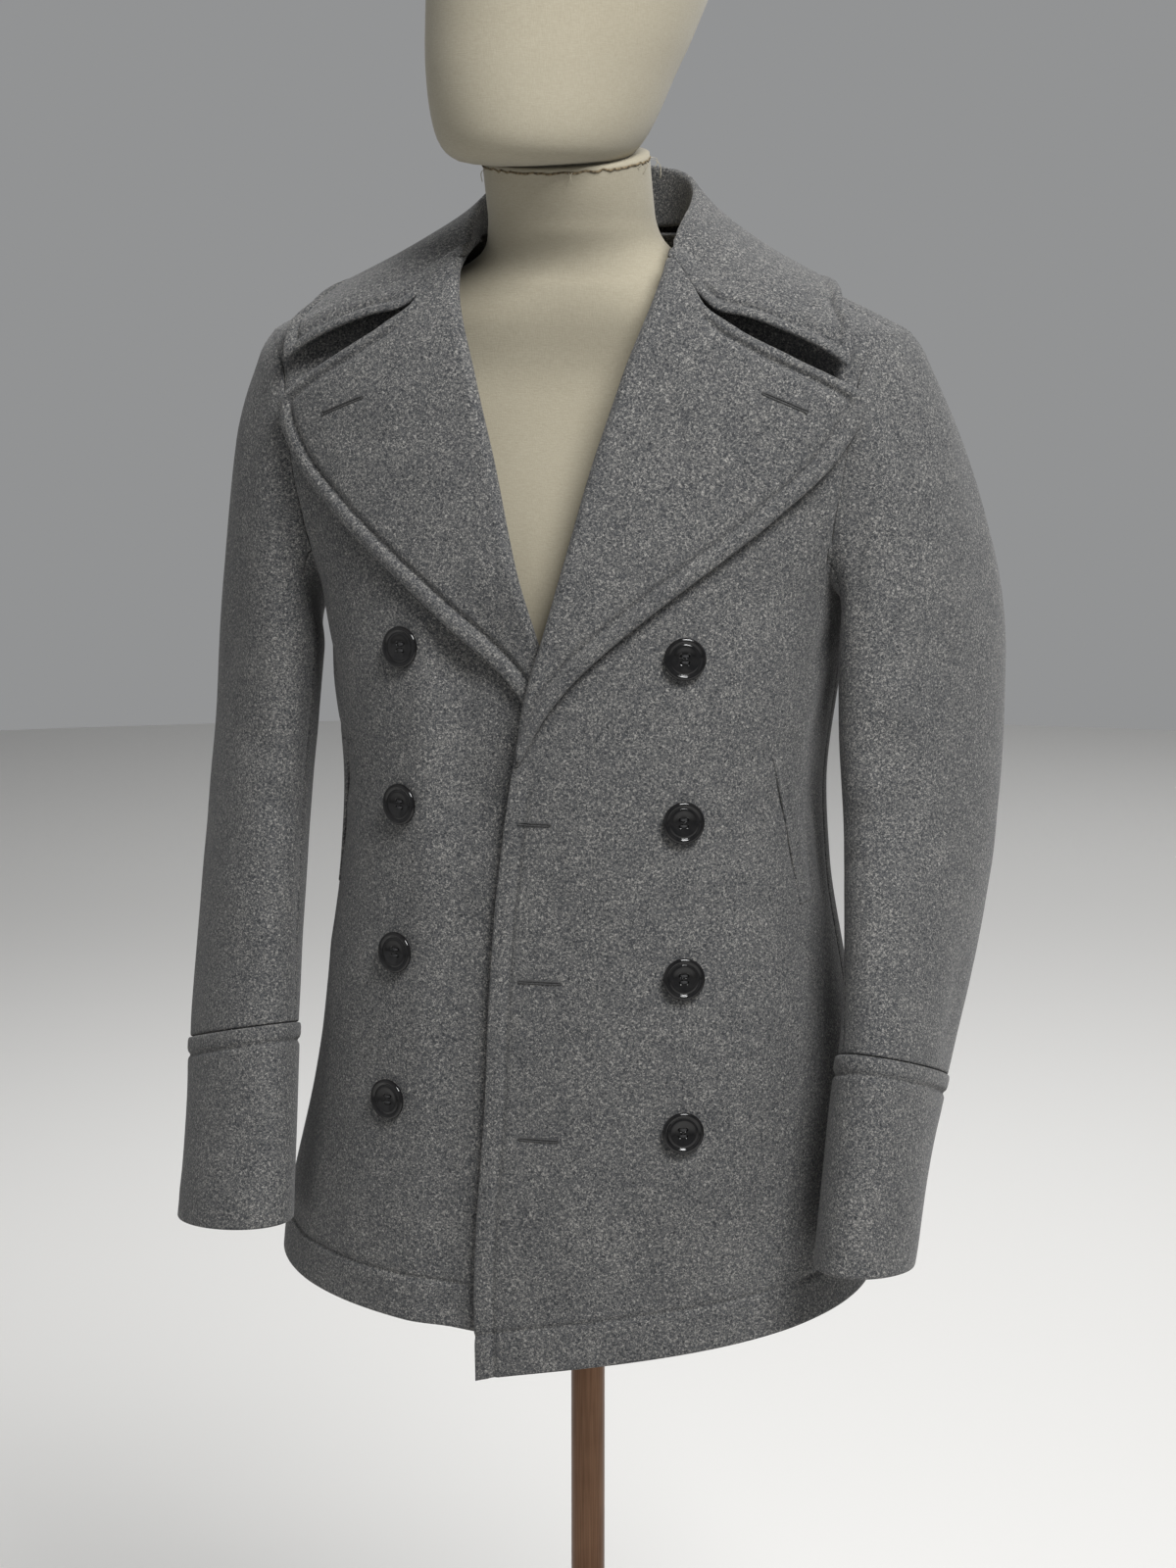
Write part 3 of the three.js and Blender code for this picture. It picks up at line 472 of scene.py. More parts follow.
frayed = Finish("frayed_linen", Roughness=0.95)
frayed.feed(Base_Color=frayed.ramp(
    frayed.noise(400, 3),
    (0.35, (0.055, 0.040, 0.022)),
    (0.65, (0.22, 0.17, 0.10)),
))


def tube(name, points, facing, radius, ends_meet):
    """A thread along a path of points, each with the direction that faces out of the cloth."""
    way = np.roll(points, -1, 0) - np.roll(points, 1, 0) if ends_meet else np.gradient(points, axis=0)
    across = unit(np.cross(unit(way), facing))
    turns = (np.arange(THREAD_SIDES) * 2 * math.pi / THREAD_SIDES)[:, None]
    spokes = across[:, None] * np.cos(turns) + facing[:, None] * np.sin(turns)
    rings = points[:, None] + radius * spokes
    count = len(points) * THREAD_SIDES
    faces = np.array(ring_faces(len(points) + (1 if ends_meet else 0), THREAD_SIDES)) % count
    faces = faces.tolist()
    if not ends_meet:
        faces += [list(range(THREAD_SIDES)), list(range(count - THREAD_SIDES, count))]
    return make_mesh(name, rings.reshape(-1, 3), faces)


rim = neck_ring(NECK_TOP - FRAY["below"])
rim_out = unit((rim - rim.mean(0)) * (1, 1, 0))
ragged = draw.normal(0, FRAY["ragged"], len(rim))[:, None] * (0, 0, 1)
frayed_line = rim + ragged - rim_out * FRAY["tuck"]
finished(tube("form_neck_raw_edge", frayed_line, rim_out, FRAY["thick"], True), frayed, "linen")
hanging = np.linspace(0, 1, 10)[:, None]
for number in range(LOOSE["threads"]):
    spot = int(draw.integers(0, len(rim)))
    sway = draw.normal(0, LOOSE["sway"], 2)
    drop = draw.uniform(LOOSE["shortest"], LOOSE["longest"])
    line = rim[spot] + rim_out[spot] * (LOOSE["out"] + LOOSE["arch"] * np.sin(math.pi * hanging))
    line = line + hanging * (sway[0], sway[1] * 0.3, 0) - np.array([0, 0, drop]) * hanging**2
    facing = np.repeat(rim_out[spot][None], len(line), 0)
    loose = tube(f"form_neck_loose_thread_{number}", line, facing, LOOSE["thick"], False)
    finished(loose, linen, "linen")

# ---- Coat: backs ----
# Heavy milled wool cloth in a grey mixture of dark and light fibres, cut in two backs that meet in a
# centre seam. The cloth is about 3 mm thick with its lining, and every edge is pressed and rounded.
SIDES = {"left": 1, "right": -1}  # the sign of X on each side of the wearer
CLOTH_WALL = 3
HEM_SIDE = 738
SWING = 8
SWING_TOP = 560
ARMHOLE_FRONT = 77
ARMHOLE_BACK = 66
ARMHOLE_ROUND = 2 / 3
ARMHOLE_ROWS = 46
SHOULDER_SEAM = 95
SIDE_SEAM = 0.08
CENTRE_SEAM = 0.12
BACK_WIDTH = 230
COLUMN_STEP = 5
ROW_STEP = 5.5
HEM_STITCH = (32, 2.0, 1.6)  # a sewn line: how far in from the edge, its width and its depth
SIDE_LINE = (0, 3.5, 0.5)
CENTRE_LINE = (0, 3.5, 0.7)
ROUND_EDGE = (0, 0.25, 0.8, 1.8, 3.4)

wool = Finish("wool", Roughness=0.96, Sheen_Weight=0.12, Sheen_Roughness=0.45)
worm = wool.noise(720, 3.0, distortion=1.0)
fibre = wool.noise(1900, 2.0, distortion=0.6)
cloud = wool.noise(34, 2.0)
mixture = worm * 0.74 + fibre * 0.20 + cloud * 0.06
wool.feed(Base_Color=wool.ramp(
    mixture,
    (0.36, (0.018, 0.019, 0.021)),
    (0.47, (0.060, 0.062, 0.066)),
    (0.55, (0.120, 0.118, 0.113)),
    (0.65, (0.300, 0.291, 0.275)),
))
wool.bump(worm * 0.6 + fibre * 0.4, 0.0011, 0.55)


def spaced(length, step, near=ROUND_EDGE, far=ROUND_EDGE):
    """Shares from 0 to 1 along a length, close together near both ends."""
    count = max(int((length - near[-1] - far[-1]) / step), 1)
    middle = np.linspace(near[-1], length - far[-1], count + 1)
    places = np.concatenate([near[:-1], middle, [length - f for f in far[-2::-1]]])
    return places / length


def beside(at, coarse=4.0, reach=4.0, fine=1.15):
    """Places in from an edge, close together over its rounding and across a sewn line beside it."""
    plain = np.arange(ROUND_EDGE[-1] + coarse, at - reach - 0.5, coarse)
    return (*ROUND_EDGE, *plain, *np.arange(at - reach, at + reach, fine))


def lengths(grid, axis):
    """Distance of each grid point from the first line along one axis."""
    step = np.linalg.norm(np.diff(grid, axis=axis), axis=-1)
    total = np.cumsum(step, axis=axis)
    return np.concatenate([np.zeros_like(np.take(total, [0], axis)), total], axis)


def from_edges(grid, closed=False):
    """Distances of each point from the grid's top, bottom, first and last column."""
    down, across = lengths(grid, 0), lengths(grid, 1)
    first, last = across, across[:, -1:] - across
    if closed:
        first = last = np.full_like(across, 1e6)
    return down, down[-1:] - down, first, last


def normals_of(grid, outward, closed=False):
    """Unit normals of a grid, on the side that the outward directions point to."""
    def slope(axis, wrap):
        if wrap:
            return np.roll(grid, -1, axis) - np.roll(grid, 1, axis)
        return np.gradient(grid, axis=axis)
    normal = unit(np.cross(slope(0, False), slope(1, closed)))
    sign = np.sign(np.sum(normal * outward, -1, keepdims=True))
    return normal * np.where(sign == 0, 1, sign)
surfaces = {}  # the outer surface of each cloth piece, by name, for what is sewn through it later


def cloth_wall(name, grid, thick, outward, closed=False):
    """A closed cloth wall behind an outer surface, with its free edges rounded over."""
    normal = normals_of(grid, outward, closed)
    surfaces[name] = (grid, normal)
    nearest = np.minimum.reduce(from_edges(grid, closed))
    radius = thick / 2
    drop = radius - np.sqrt(np.maximum(radius**2 - np.maximum(radius - nearest, 0) ** 2, 0))
    outer = grid - normal * drop[..., None]
    inner = grid - normal * (thick - drop)[..., None]
    rows, columns = grid.shape[:2]
    border = np.zeros((rows, columns), bool)
    border[[0, -1]] = True
    if not closed:
        border[:, [0, -1]] = True
    outer_index = np.arange(rows * columns).reshape(rows, columns)
    inner_index = outer_index.copy()
    inner_index[~border] = rows * columns + np.arange((~border).sum())
    points = np.concatenate([outer.reshape(-1, 3), inner[~border]])
    faces = []
    for index in (outer_index, inner_index):
        if closed:
            index = np.concatenate([index, index[:, :1]], 1)
        corners = (index[:-1, :-1], index[1:, :-1], index[1:, 1:], index[:-1, 1:])
        quads = np.stack(corners, -1).reshape(-1, 4)
        faces += (quads if index is outer_index else quads[:, ::-1]).tolist()
    return make_mesh(name, points, faces)
def stitched(distance, at, width, depth):
    """How far a sewn line pulls the cloth in, at a distance from the edge beside it."""
    return -depth * np.exp(-(((distance - at) / width) ** 2))


def folds(grid, spot, *rows):
    """Soft troughs, and ridges of negative depth: each row has both ends, bow, width and depth."""
    height = np.zeros(grid.shape[:2])
    for a0, b0, a1, b1, bend, width, depth in rows:
        share = np.linspace(0, 1, 7)
        bow = bend * np.sin(np.pi * share)
        path = spot(blend(a0, a1, share) + bow, blend(b0, b1, share))
        nearest = np.full(grid.shape[:2], 1e9)
        along = np.zeros(grid.shape[:2])
        for i in range(len(path) - 1):
            way = path[i + 1] - path[i]
            part = np.clip(((grid - path[i]) @ way) / max(way @ way, 1e-9), 0, 1)
            gap = np.linalg.norm(grid - path[i] - part[..., None] * way, axis=-1)
            along = np.where(gap < nearest, (i + part) / (len(path) - 1), along)
            nearest = np.minimum(gap, nearest)
        taper = np.sin(np.pi * np.clip(along, 0.02, 0.98)) ** 0.8
        height -= depth * taper * np.exp(-((nearest / width) ** 2))
    return height


def armhole(turn):
    """Level and angle of the armhole loop, seen from the side: 0 in front, 90 at the shoulder."""
    rad = np.radians(np.asarray(turn, float))
    middle = (SHOULDER_END + ARMPIT) / 2
    rise = np.sign(np.sin(rad)) * np.abs(np.sin(rad)) ** ARMHOLE_ROUND
    down = middle - (middle - SHOULDER_END) * rise
    behind = np.cos(rad) < -1e-9
    reach = np.where(behind, ARMHOLE_BACK, ARMHOLE_FRONT) * np.abs(np.cos(rad)) ** ARMHOLE_ROUND
    half, front, back, square = columns(BODY, "down", down, "half front back square")
    out = half * (1 - (reach / np.where(behind, back, front)) ** square) ** (1 / square)
    angle = np.degrees(np.arctan2(out, np.maximum(reach, 0.15)))
    return down, np.where(behind, 180 - angle, angle)


def angle_at(out, down):
    """Angle of the point in front that lies a distance out from the centre."""
    half, front, square = columns(BODY, "down", down, "half front square")
    reach = np.minimum(np.abs(out) / half, 1)
    ahead = front * (1 - reach**square) ** (1 / square)
    return np.sign(out) * np.degrees(np.arctan2(np.abs(out), ahead))


def hung(grid, side):
    """Moves a panel to its side of the coat, with the hem swinging towards the wearer's right."""
    swing = SWING * ease(SWING_TOP, HEM_SIDE, SHOULDER_Z - grid[..., 2])
    return np.stack([side * grid[..., 0] - swing, grid[..., 1], grid[..., 2]], -1)


def panel_rows(behind):
    """Levels of a panel's rows, their share of the way to the hem, and the angle of its outer edge."""
    shoulder = spaced(SHOULDER_SEAM, COLUMN_STEP, far=(0, 1))[:-1] * SHOULDER_END
    down, angle = armhole(np.linspace(90, 270 if behind else -90, ARMHOLE_ROWS))
    share = spaced(HEM_SIDE - ARMPIT, ROW_STEP, near=(0, 1), far=beside(HEM_STITCH[0]))[1:]
    seam = 90 + SIDE_SEAM if behind else 90 - SIDE_SEAM
    angle = np.maximum(angle, seam) if behind else angle
    downs = np.concatenate([shoulder, down, np.full(len(share), ARMPIT)])
    shares = np.concatenate([np.zeros(len(shoulder) + len(down)), share])
    edges = np.concatenate([np.full(len(shoulder), seam), angle, np.full(len(share), seam)])
    return downs[:, None], shares[:, None], edges[:, None]


def panel(name, node, side, grid, outward, height, wall):
    """A wool piece on the coat's body: its surface moved out by the height, hung and given a wall."""
    moved = hung(grid + outward * height[..., None], side)
    piece = cloth_wall(name, moved, wall, outward * (side, 1, 1))
    finished(piece, wool, "wool", node)
    return piece


BACK_FOLDS = (  # angle and down of both ends, sideways bow in degrees, width, depth
    (150, 60, 128, 215, 4, 16, 3.4),
    (166, 95, 160, 240, -3, 20, 1.9),
    (112, 250, 132, 330, 3, 12, 3),
    (104, 372, 140, 402, 0, 13, 3.2),
    (118, 418, 158, 436, 0, 17, 2.7),
    (140, 470, 146, 720, 3, 24, 4.2),
    (118, 520, 112, 730, -3, 26, -3.4),
    (165, 560, 168, 735, 0, 20, 2.1),
)


def back(word, side):
    down, share, edge = panel_rows(True)
    level = blend(down, HEM_SIDE, share)
    angle = blend(edge, 180 - CENTRE_SEAM, spaced(BACK_WIDTH, COLUMN_STEP)[None, :])
    grid, outward = body_point(angle, level), body_normal(angle, level)
    _, bottom, seam, centre = from_edges(grid)
    height = stitched(bottom, *HEM_STITCH) + folds(grid, body_point, *BACK_FOLDS)
    height += stitched(centre, *CENTRE_LINE) + stitched(seam, *SIDE_LINE)
    piece = panel(f"coat_back_{word}", f"back_{word}", side, grid, outward, height, CLOTH_WALL)


for word, side in SIDES.items():
    back(word, side)

# ---- Coat: fronts ----
# Each front is one piece of the wool over its facing, 4 mm thick, from the shoulder seam to the hem.
# The wearer's left lies on top. A line of stitches runs beside the free edge and above the hem.
FRONT_WALL = 4
FRONT_WIDTH = 250
FRONT_STEP = 4.6
FRONT_MIDDLE = {"share": 0.68, "part": 0.6, "angle": 60}  # where the columns change their spacing
HEM_OVER = 784
HEM_UNDER = 757
BREAK_DOWN = 352
UNDER_ROLL = 6  # how far the front's edge stays in behind the roll of the lapel
UNDER_DROP = 8
UNDER_REACH = (-88, -52)
BREAK_DROP = 7
BREAK_FROM = (225, 285)
BREAK_TO = (375, 440)
EDGE_STITCH = (14, 2.2, 1.8)
EDGE_PLUMP = (6, 5, -0.5)
SHOULDER_STITCH = (21, 1.5, 1.6)
SHOULDER_LINE = (15, 1.4, 0.8)
FRONT_EDGE = table(
    "down out",
    (0, 67),
    (22, 69),
    (98, 49),
    (152, 33),
    (211, 18),
    (267, 3),
    (305, -8),
    (352, -17),
    (400, -24),
    (470, -31),
    (560, -35),
    (650, -36),
    (800, -33),
)
FRONT_FOLDS = (
    (74, 352, 82, 470, 3, 9, 1.9),
    (66, 450, 74, 545, -2, 11, 1.6),
    (36, 395, 30, 520, 2, 20, 1.1),
    (58, 640, 60, 735, 1, 14, -1.5),
    (78, 262, 58, 318, 3, 11, 3.2),
    (83, 285, 70, 352, 2, 12, 2.3),
    (50, 120, 62, 235, 5, 18, 2.3),
    (84, 392, 52, 374, 0, 13, 1.9),
    (80, 425, 56, 412, 0, 15, 1.4),
    (72, 500, 66, 730, 3, 26, 3.5),
    (46, 560, 44, 735, -2, 24, -2.3),
    (24, 600, 26, 745, 1, 20, 1.7),
    (12, 430, 4, 560, 2, 22, 1.3),
)
NOTCH_HOLLOW = ((98, 48, 199, 96, 0, 16, 19),)  # out and down of both ends, bow, width, depth
POCKET_FOLDS = (
    (53, 351, 60, 345, 0, 3.0, 1.6),
    (60, 345, 70, 342, 0, 4.0, 1.2),
)


def under_drop(across, level):
    """How far the lower front lies inside the upper one, at a distance across from the centre."""
    deep = ease(*BREAK_FROM, level) * (1 - ease(*BREAK_TO, level))
    return (UNDER_DROP + BREAK_DROP * deep) * ease(*UNDER_REACH, across)


def front(word, side):
    over = side > 0
    down, share, edge = panel_rows(False)
    near, far = beside(EDGE_STITCH[0]), beside(SHOULDER_STITCH[0])
    across = spaced(FRONT_WIDTH, FRONT_STEP, near, far)[None, :]
    hem = blend(HEM_OVER if over else HEM_UNDER, HEM_SIDE, across**0.8)
    level = blend(down, hem, share)
    hidden = UNDER_ROLL * (1 - ease(BREAK_DOWN - 90, BREAK_DOWN - 10, level))
    inner = angle_at(curve(FRONT_EDGE, "down", level, "out") + hidden, level)
    middle = np.maximum(FRONT_MIDDLE["angle"], inner + (edge - inner) * FRONT_MIDDLE["part"])
    turn = FRONT_MIDDLE["share"]
    angle = np.where(
        across <= turn,
        blend(inner, middle, np.minimum(across / turn, 1)),
        blend(middle, edge, np.clip((across - turn) / (1 - turn), 0, 1)),
    )
    grid, outward = body_point(angle, level), body_normal(angle, level)
    _, bottom, free, seam = from_edges(grid)
    height = stitched(bottom, *HEM_STITCH) + folds(grid, body_point, *FRONT_FOLDS)
    height += folds(grid, body_point, *POCKET_FOLDS)
    height += folds(grid, lambda out, down: body_point(angle_at(out, down), down), *NOTCH_HOLLOW)
    shoulder = ease(SHOULDER_END, SHOULDER_END - 6, level)
    height += (stitched(seam, *SHOULDER_STITCH) + stitched(seam, *SHOULDER_LINE)) * shoulder
    below = ease(BREAK_DOWN - 10, BREAK_DOWN + 40, level)
    height += (stitched(free, *EDGE_STITCH) + stitched(free, *EDGE_PLUMP)) * below
    height += stitched(seam, *SIDE_LINE)
    height -= 0 if over else under_drop(-grid[..., 0], level)
    piece = panel(f"coat_front_{word}", f"front_{word}", side, grid, outward, height, FRONT_WALL)


for word, side in SIDES.items():
    front(word, side)

# ---- Coat: pocket welts ----
# A slanted hand pocket on each side, its mouth faced by a narrow strip of the wool that stands a
# little proud of the front and is stitched down along both long edges.
POCKET_TOP = {"out": 150, "down": 350}
POCKET_LOW = {"out": 166, "down": 456}
POCKET_WIDTH = 25
POCKET_LENGTH = 110
POCKET_WALL = 2.2
POCKET_LIFT = (0.9, 0.2)  # how far the strip stands proud at its mouth and at its far edge
MOUTH_STITCH = (6, 1.5, 1.1)
FAR_STITCH = (3, 1.5, 0.5)


def pocket(word, side):
    share = spaced(POCKET_LENGTH, 3)[:, None]
    across = spaced(POCKET_WIDTH, 2.4)[None, :]
    down = blend(POCKET_TOP["down"], POCKET_LOW["down"], share) + 0 * across
    start = angle_at(blend(POCKET_TOP["out"], POCKET_LOW["out"], share) + 0 * across, down)
    radius = np.linalg.norm(body_point(start, down)[..., :2], axis=-1)
    angle = start + np.degrees(POCKET_WIDTH * across / radius)
    grid, outward = body_point(angle, down), body_normal(angle, down)
    _, _, mouth, far = from_edges(grid)
    height = blend(*POCKET_LIFT, across) + stitched(mouth, *MOUTH_STITCH) + stitched(far, *FAR_STITCH)
    names = f"coat_pocket_{word}", f"pocket_welt_{word}"
    piece = panel(*names, side, grid, outward, height, POCKET_WALL)


for word, side in SIDES.items():
    pocket(word, side)

# ---- Coat: lapels ----
# The top of each front and its facing, turned back along the roll line: 5 mm of wool, canvas and wool.
# The roll is soft and round, and stitches beside the free edges leave a plump band along them.
LAPEL_WALL = 5
LAPEL_LENGTH = 330
LAPEL_WIDTH = 170
LAPEL_STEP = {"down": 3.2, "across": 3.0}
LAPEL_DROP = 15
LAPEL_REACH = {"across": (-70, -25), "level": (215, 285)}  # where the under lapel lies deeper
LAPEL_TIP = {"left": (0, 0), "right": (9, 7)}  # how far in and how much lower the corner sits
LAPEL_LIFT = {"roll": 5, "edge": 3}
LAPEL_FLARE = 0.5
ROLL_RADIUS = 7.5
TOP_STITCH = (9, 2.2, 2.8)
TOP_PLUMP = (4.5, 3.2, -0.9)
SIDE_STITCH = (12.5, 2.4, 3.0)
SIDE_PLUMP = (6, 4.5, -1.3)
LAPEL_TOP = table(
    "share out down",
    (0, 69, 21),
    (0.06, 76, 25.6),
    (0.18, 92, 43.1),
    (0.25, 101, 53.6),
    (0.47, 131, 70.5),
    (0.69, 161, 84.5),
    (0.93, 194, 101.5),
    (1, 203, 107),
)
LAPEL_EDGE = table(
    "down out",
    (105, 203),
    (113, 203),
    (146, 189),
    (188, 150),
    (214, 120),
    (240, 88),
    (276, 46),
    (300, 22),
    (326, 3),
    (352, -11),
)
LAPEL_FOLDS = (
    (58, 118, 50, 150, -3, 22, 1.2),
    (30, 95, 34, 160, 3, 16, 1.3),
    (46, 150, 30, 205, 0, 20, 1.2),
    (14, 210, 8, 290, 1, 14, -1),
)


def lapel(word, side):
    rounding = tuple(ROLL_RADIUS * (1 - math.cos(math.radians(step))) for step in range(0, 100, 15))
    down_share = spaced(LAPEL_LENGTH, LAPEL_STEP["down"], near=beside(TOP_STITCH[0]))[:, None]
    across = spaced(LAPEL_WIDTH, LAPEL_STEP["across"], rounding, beside(SIDE_STITCH[0]))[None, :]
    fade = (1 - down_share) ** 3
    roll_down = blend(LAPEL_TOP["down"][0], BREAK_DOWN - 12, down_share)
    edge_down = blend(LAPEL_TOP["down"][-1], BREAK_DOWN, down_share)
    roll = curve(FRONT_EDGE, "down", roll_down, "out")
    edge = curve(LAPEL_EDGE, "down", edge_down, "out")
    inward, lower = LAPEL_TIP[word]
    top_out = curve(LAPEL_TOP, "share", across, "out") - blend(roll[0], edge[0], across)
    top_down = curve(LAPEL_TOP, "share", across, "down") - blend(roll_down[0], edge_down[0], across)
    out = blend(roll, edge, across) + (top_out - inward * across**2) * fade
    level = blend(roll_down, edge_down, across) + (top_down + lower * across**2) * fade
    angle = angle_at(out, level)
    grid, outward = body_point(angle, level), body_normal(angle, level)
    top, _, rolled, free = from_edges(grid)
    lift = blend(LAPEL_LIFT["roll"], LAPEL_LIFT["edge"], across) * blend(1, 0.55, down_share)
    height = lift + LAPEL_WALL + 1 - 2.5 * ease(0.86, 1, down_share)
    if side < 0:
        sunk = ease(*LAPEL_REACH["across"], -grid[..., 0]) * ease(*LAPEL_REACH["level"], level)
        height = height - LAPEL_DROP * sunk
    away = np.maximum(ROLL_RADIUS - rolled, 0)
    height = height - (ROLL_RADIUS - np.sqrt(np.maximum(ROLL_RADIUS**2 - away**2, 0)))
    height += LAPEL_FLARE * fade * ease(0.2, 0.8, across)
    past_gorge = ease(0.2, 0.3, across)
    height += stitched(top, *TOP_STITCH) * past_gorge * ease(8, 18, free)
    height += stitched(free, *SIDE_STITCH) * ease(4, 14, top)
    height += stitched(free, *SIDE_PLUMP) + stitched(top, *TOP_PLUMP) * past_gorge
    height += folds(grid, body_point, *LAPEL_FOLDS)
    piece = panel(f"coat_lapel_{word}", f"lapel_{word}", side, grid, outward, height, LAPEL_WALL)


for word, side in SIDES.items():
    lapel(word, side)

# ---- Coat: collar ----
# One broad collar of wool over canvas: a stand round the neck, turned over at a soft fold into a fall
# that lies on the shoulders. Its front edges are sewn to the lapels in the gorge, up to the notches.
COLLAR_WALL = LAPEL_WALL - 0.6
COLLAR_LIFT = 2.6
COLLAR_HUG = 2.3
COLLAR_FLARE = 4
COLLAR_LENGTH = 250
COLLAR_WIDTH = 150
COLLAR_STEP = {"round": 4.0, "across": 3.2}
COLLAR_SHARES = (0, 0.04, 0.1, 0.18, 0.3, 0.45, 0.6, 0.8, 1)  # of the way over the fall
FALL_STITCH = (11, 2.3, 3.2)
FALL_PLUMP = (5, 4, -1.0)
FRONT_STITCH = (9, 2.2, 3.2)
FRONT_PLUMP = (4, 3.2, -1.2)
COLLAR = table(
    "row out ahead up stand angle down",
    (0, 69.5, 63, -17, 3, 68, 89),
    (1, 74, 49, -2, 12, 71, 75),
    (2, 76.5, 34, 9, 18, 75, 59),
    (3, 77.5, 14, 18, 22, 81, 48),
    (4, 76, -8, 27, 28, 92, 41),
    (5, 69, -34, 36, 32, 112, 39),
    (6, 52, -59, 43, 39, 136, 39),
    (7, 28, -74, 46, 43, 160, 41),
    (8, 0, -79, 47, 44, 180, 42),
)
GORGE = table(
    "share out down",
    (0, 69.5, 20.4),
    (0.07, 77, 25.4),
    (0.19, 92, 42.5),
    (0.26, 101, 52.5),
    (0.48, 130, 62),
    (0.66, 152, 69),
    (0.86, 177, 80.5),
    (1, 191, 90),
)
COLLAR_FOLDS = (
    (62, 60, 72, 78, 0, 6, 1.5),
    (66, 52, 76, 68, 0, 7, 1.4),
    (70, 46, 80, 60, 0, 8, 1.2),
)


def level_at(angle, radius):
    """Level at which the body's surface has a given distance from the centre line."""
    low, high = np.full_like(radius, BODY["down"][0]), np.full_like(radius, SHOULDER_END)
    for _ in range(24):
        middle = (low + high) / 2
        reach = np.linalg.norm(body_point(angle, middle)[..., :2], axis=-1)
        low, high = np.where(reach < radius, middle, low), np.where(reach < radius, high, middle)
    return (low + high) / 2


def smooth_path(knots):
    """Smooth curve through a list of point arrays, sampled close together near its ends."""
    knots = [2 * knots[0] - knots[1], *knots, 2 * knots[-1] - knots[-2]]
    dense = []
    for a, b, c, d in zip(knots, knots[1:], knots[2:], knots[3:]):
        bend, twist = 2 * a - 5 * b + 4 * c - d, 3 * b - a - 3 * c + d
        for t in np.linspace(0, 1, 12, endpoint=False):
            dense.append(0.5 * (2 * b + (c - a) * t + bend * t**2 + twist * t**3))
    dense.append(knots[-2])
    dense = np.stack(dense, 1)
    along = lengths(dense, 1)
    shares = spaced(COLLAR_WIDTH, COLLAR_STEP["across"], far=beside(FALL_STITCH[0]))
    path = np.empty((dense.shape[0], len(shares), 3))
    for row in range(dense.shape[0]):
        for axis in range(3):
            path[row, :, axis] = np.interp(shares * along[row, -1], along[row], dense[row, :, axis])
    return path


def collar_half():
    """The collar's left half, from its front edge to the centre back and from the stand's foot."""
    share = spaced(COLLAR_LENGTH, COLLAR_STEP["round"], near=beside(FRONT_STITCH[0]), far=(0, 1))
    at = share * COLLAR["row"][-1]
    get = {name: curve(COLLAR, "row", at, name) for name in COLLAR}
    fold = np.stack([get["out"], -get["ahead"], SHOULDER_Z + get["up"]], -1)
    fold_angle = np.degrees(np.arctan2(get["out"], get["ahead"]))
    fold_down = level_at(fold_angle, np.hypot(get["out"], get["ahead"]))
    front_share = np.clip(1 - at / 1.7, 0, 1) ** 2

    def lying(t):
        gorge_down = curve(GORGE, "share", t, "down")
        gorge_angle = angle_at(curve(GORGE, "share", t, "out"), gorge_down)
        angle = blend(fold_angle, get["angle"], t)
        down = blend(fold_down, get["down"], t)
        angle = angle + (gorge_angle - angle[0]) * front_share
        down = down + (gorge_down - down[0]) * front_share
        return body_point(angle, down) + body_normal(angle, down) * (LAPEL_WALL + COLLAR_LIFT)

    base = lying(0.0)
    fold = np.where((fold[:, 2:] < base[:, 2:]), base, fold)
    rise = fold - base
    fall = [lying(t) + rise * (1 - t) ** COLLAR_HUG for t in COLLAR_SHARES]
    outward = unit((fall[3] - fold) * (1, 1, 0))
    face = fold - outward * (4.5 * ease(0, 1.5, at))[:, None]
    down_way = np.array([0, 0, -1.0])
    foot = face + down_way * get["stand"][:, None]
    middle = face + down_way * (get["stand"] * 0.55)[:, None]
    shoulder = face + outward * 0.9 + down_way * 2.2
    apex = fold - outward * 1.2 + (0, 0, 0.4)
    return smooth_path([foot, middle, shoulder, apex, *[part - (0, 0, 0.2) for part in fall[1:]]])


def over_body(angle, down):
    """Point 8 mm off the body, at the height of the collar's fall."""
    return body_point(angle, down) + body_normal(angle, down) * 8


collar_left = collar_half()
collar_right = collar_left[-2::-1] * (-1, 1, 1)
collar_grid = np.concatenate([collar_left, collar_right])
neck_centre = np.array([0, -20, SHOULDER_Z - 60.0])
start_edge, end_edge, foot_edge, fall_edge = from_edges(collar_grid)
collar_normal = unit(np.cross(np.gradient(collar_grid, axis=0), np.gradient(collar_grid, axis=1)))
collar_normal = collar_normal * np.sign(collar_normal[40, -8] @ (collar_grid - neck_centre)[40, -8])
front_edge = np.minimum(start_edge, end_edge)
height = stitched(fall_edge, *FALL_STITCH) * ease(6, 14, front_edge) + stitched(fall_edge, *FALL_PLUMP)
front_band = stitched(front_edge, *FRONT_STITCH) + stitched(front_edge, *FRONT_PLUMP)
height += front_band * ease(40, 50, foot_edge) * ease(4, 10, fall_edge)
height += COLLAR_FLARE * ease(70, 0, front_edge) * ease(30, 90, foot_edge)
for half in (collar_grid, collar_grid * (-1, 1, 1)):
    height += folds(half, over_body, *COLLAR_FOLDS)
collar_grid = collar_grid + collar_normal * height[..., None]
collar = cloth_wall("coat_collar", collar_grid, COLLAR_WALL, collar_normal)
finished(collar, wool, "wool", "collar")

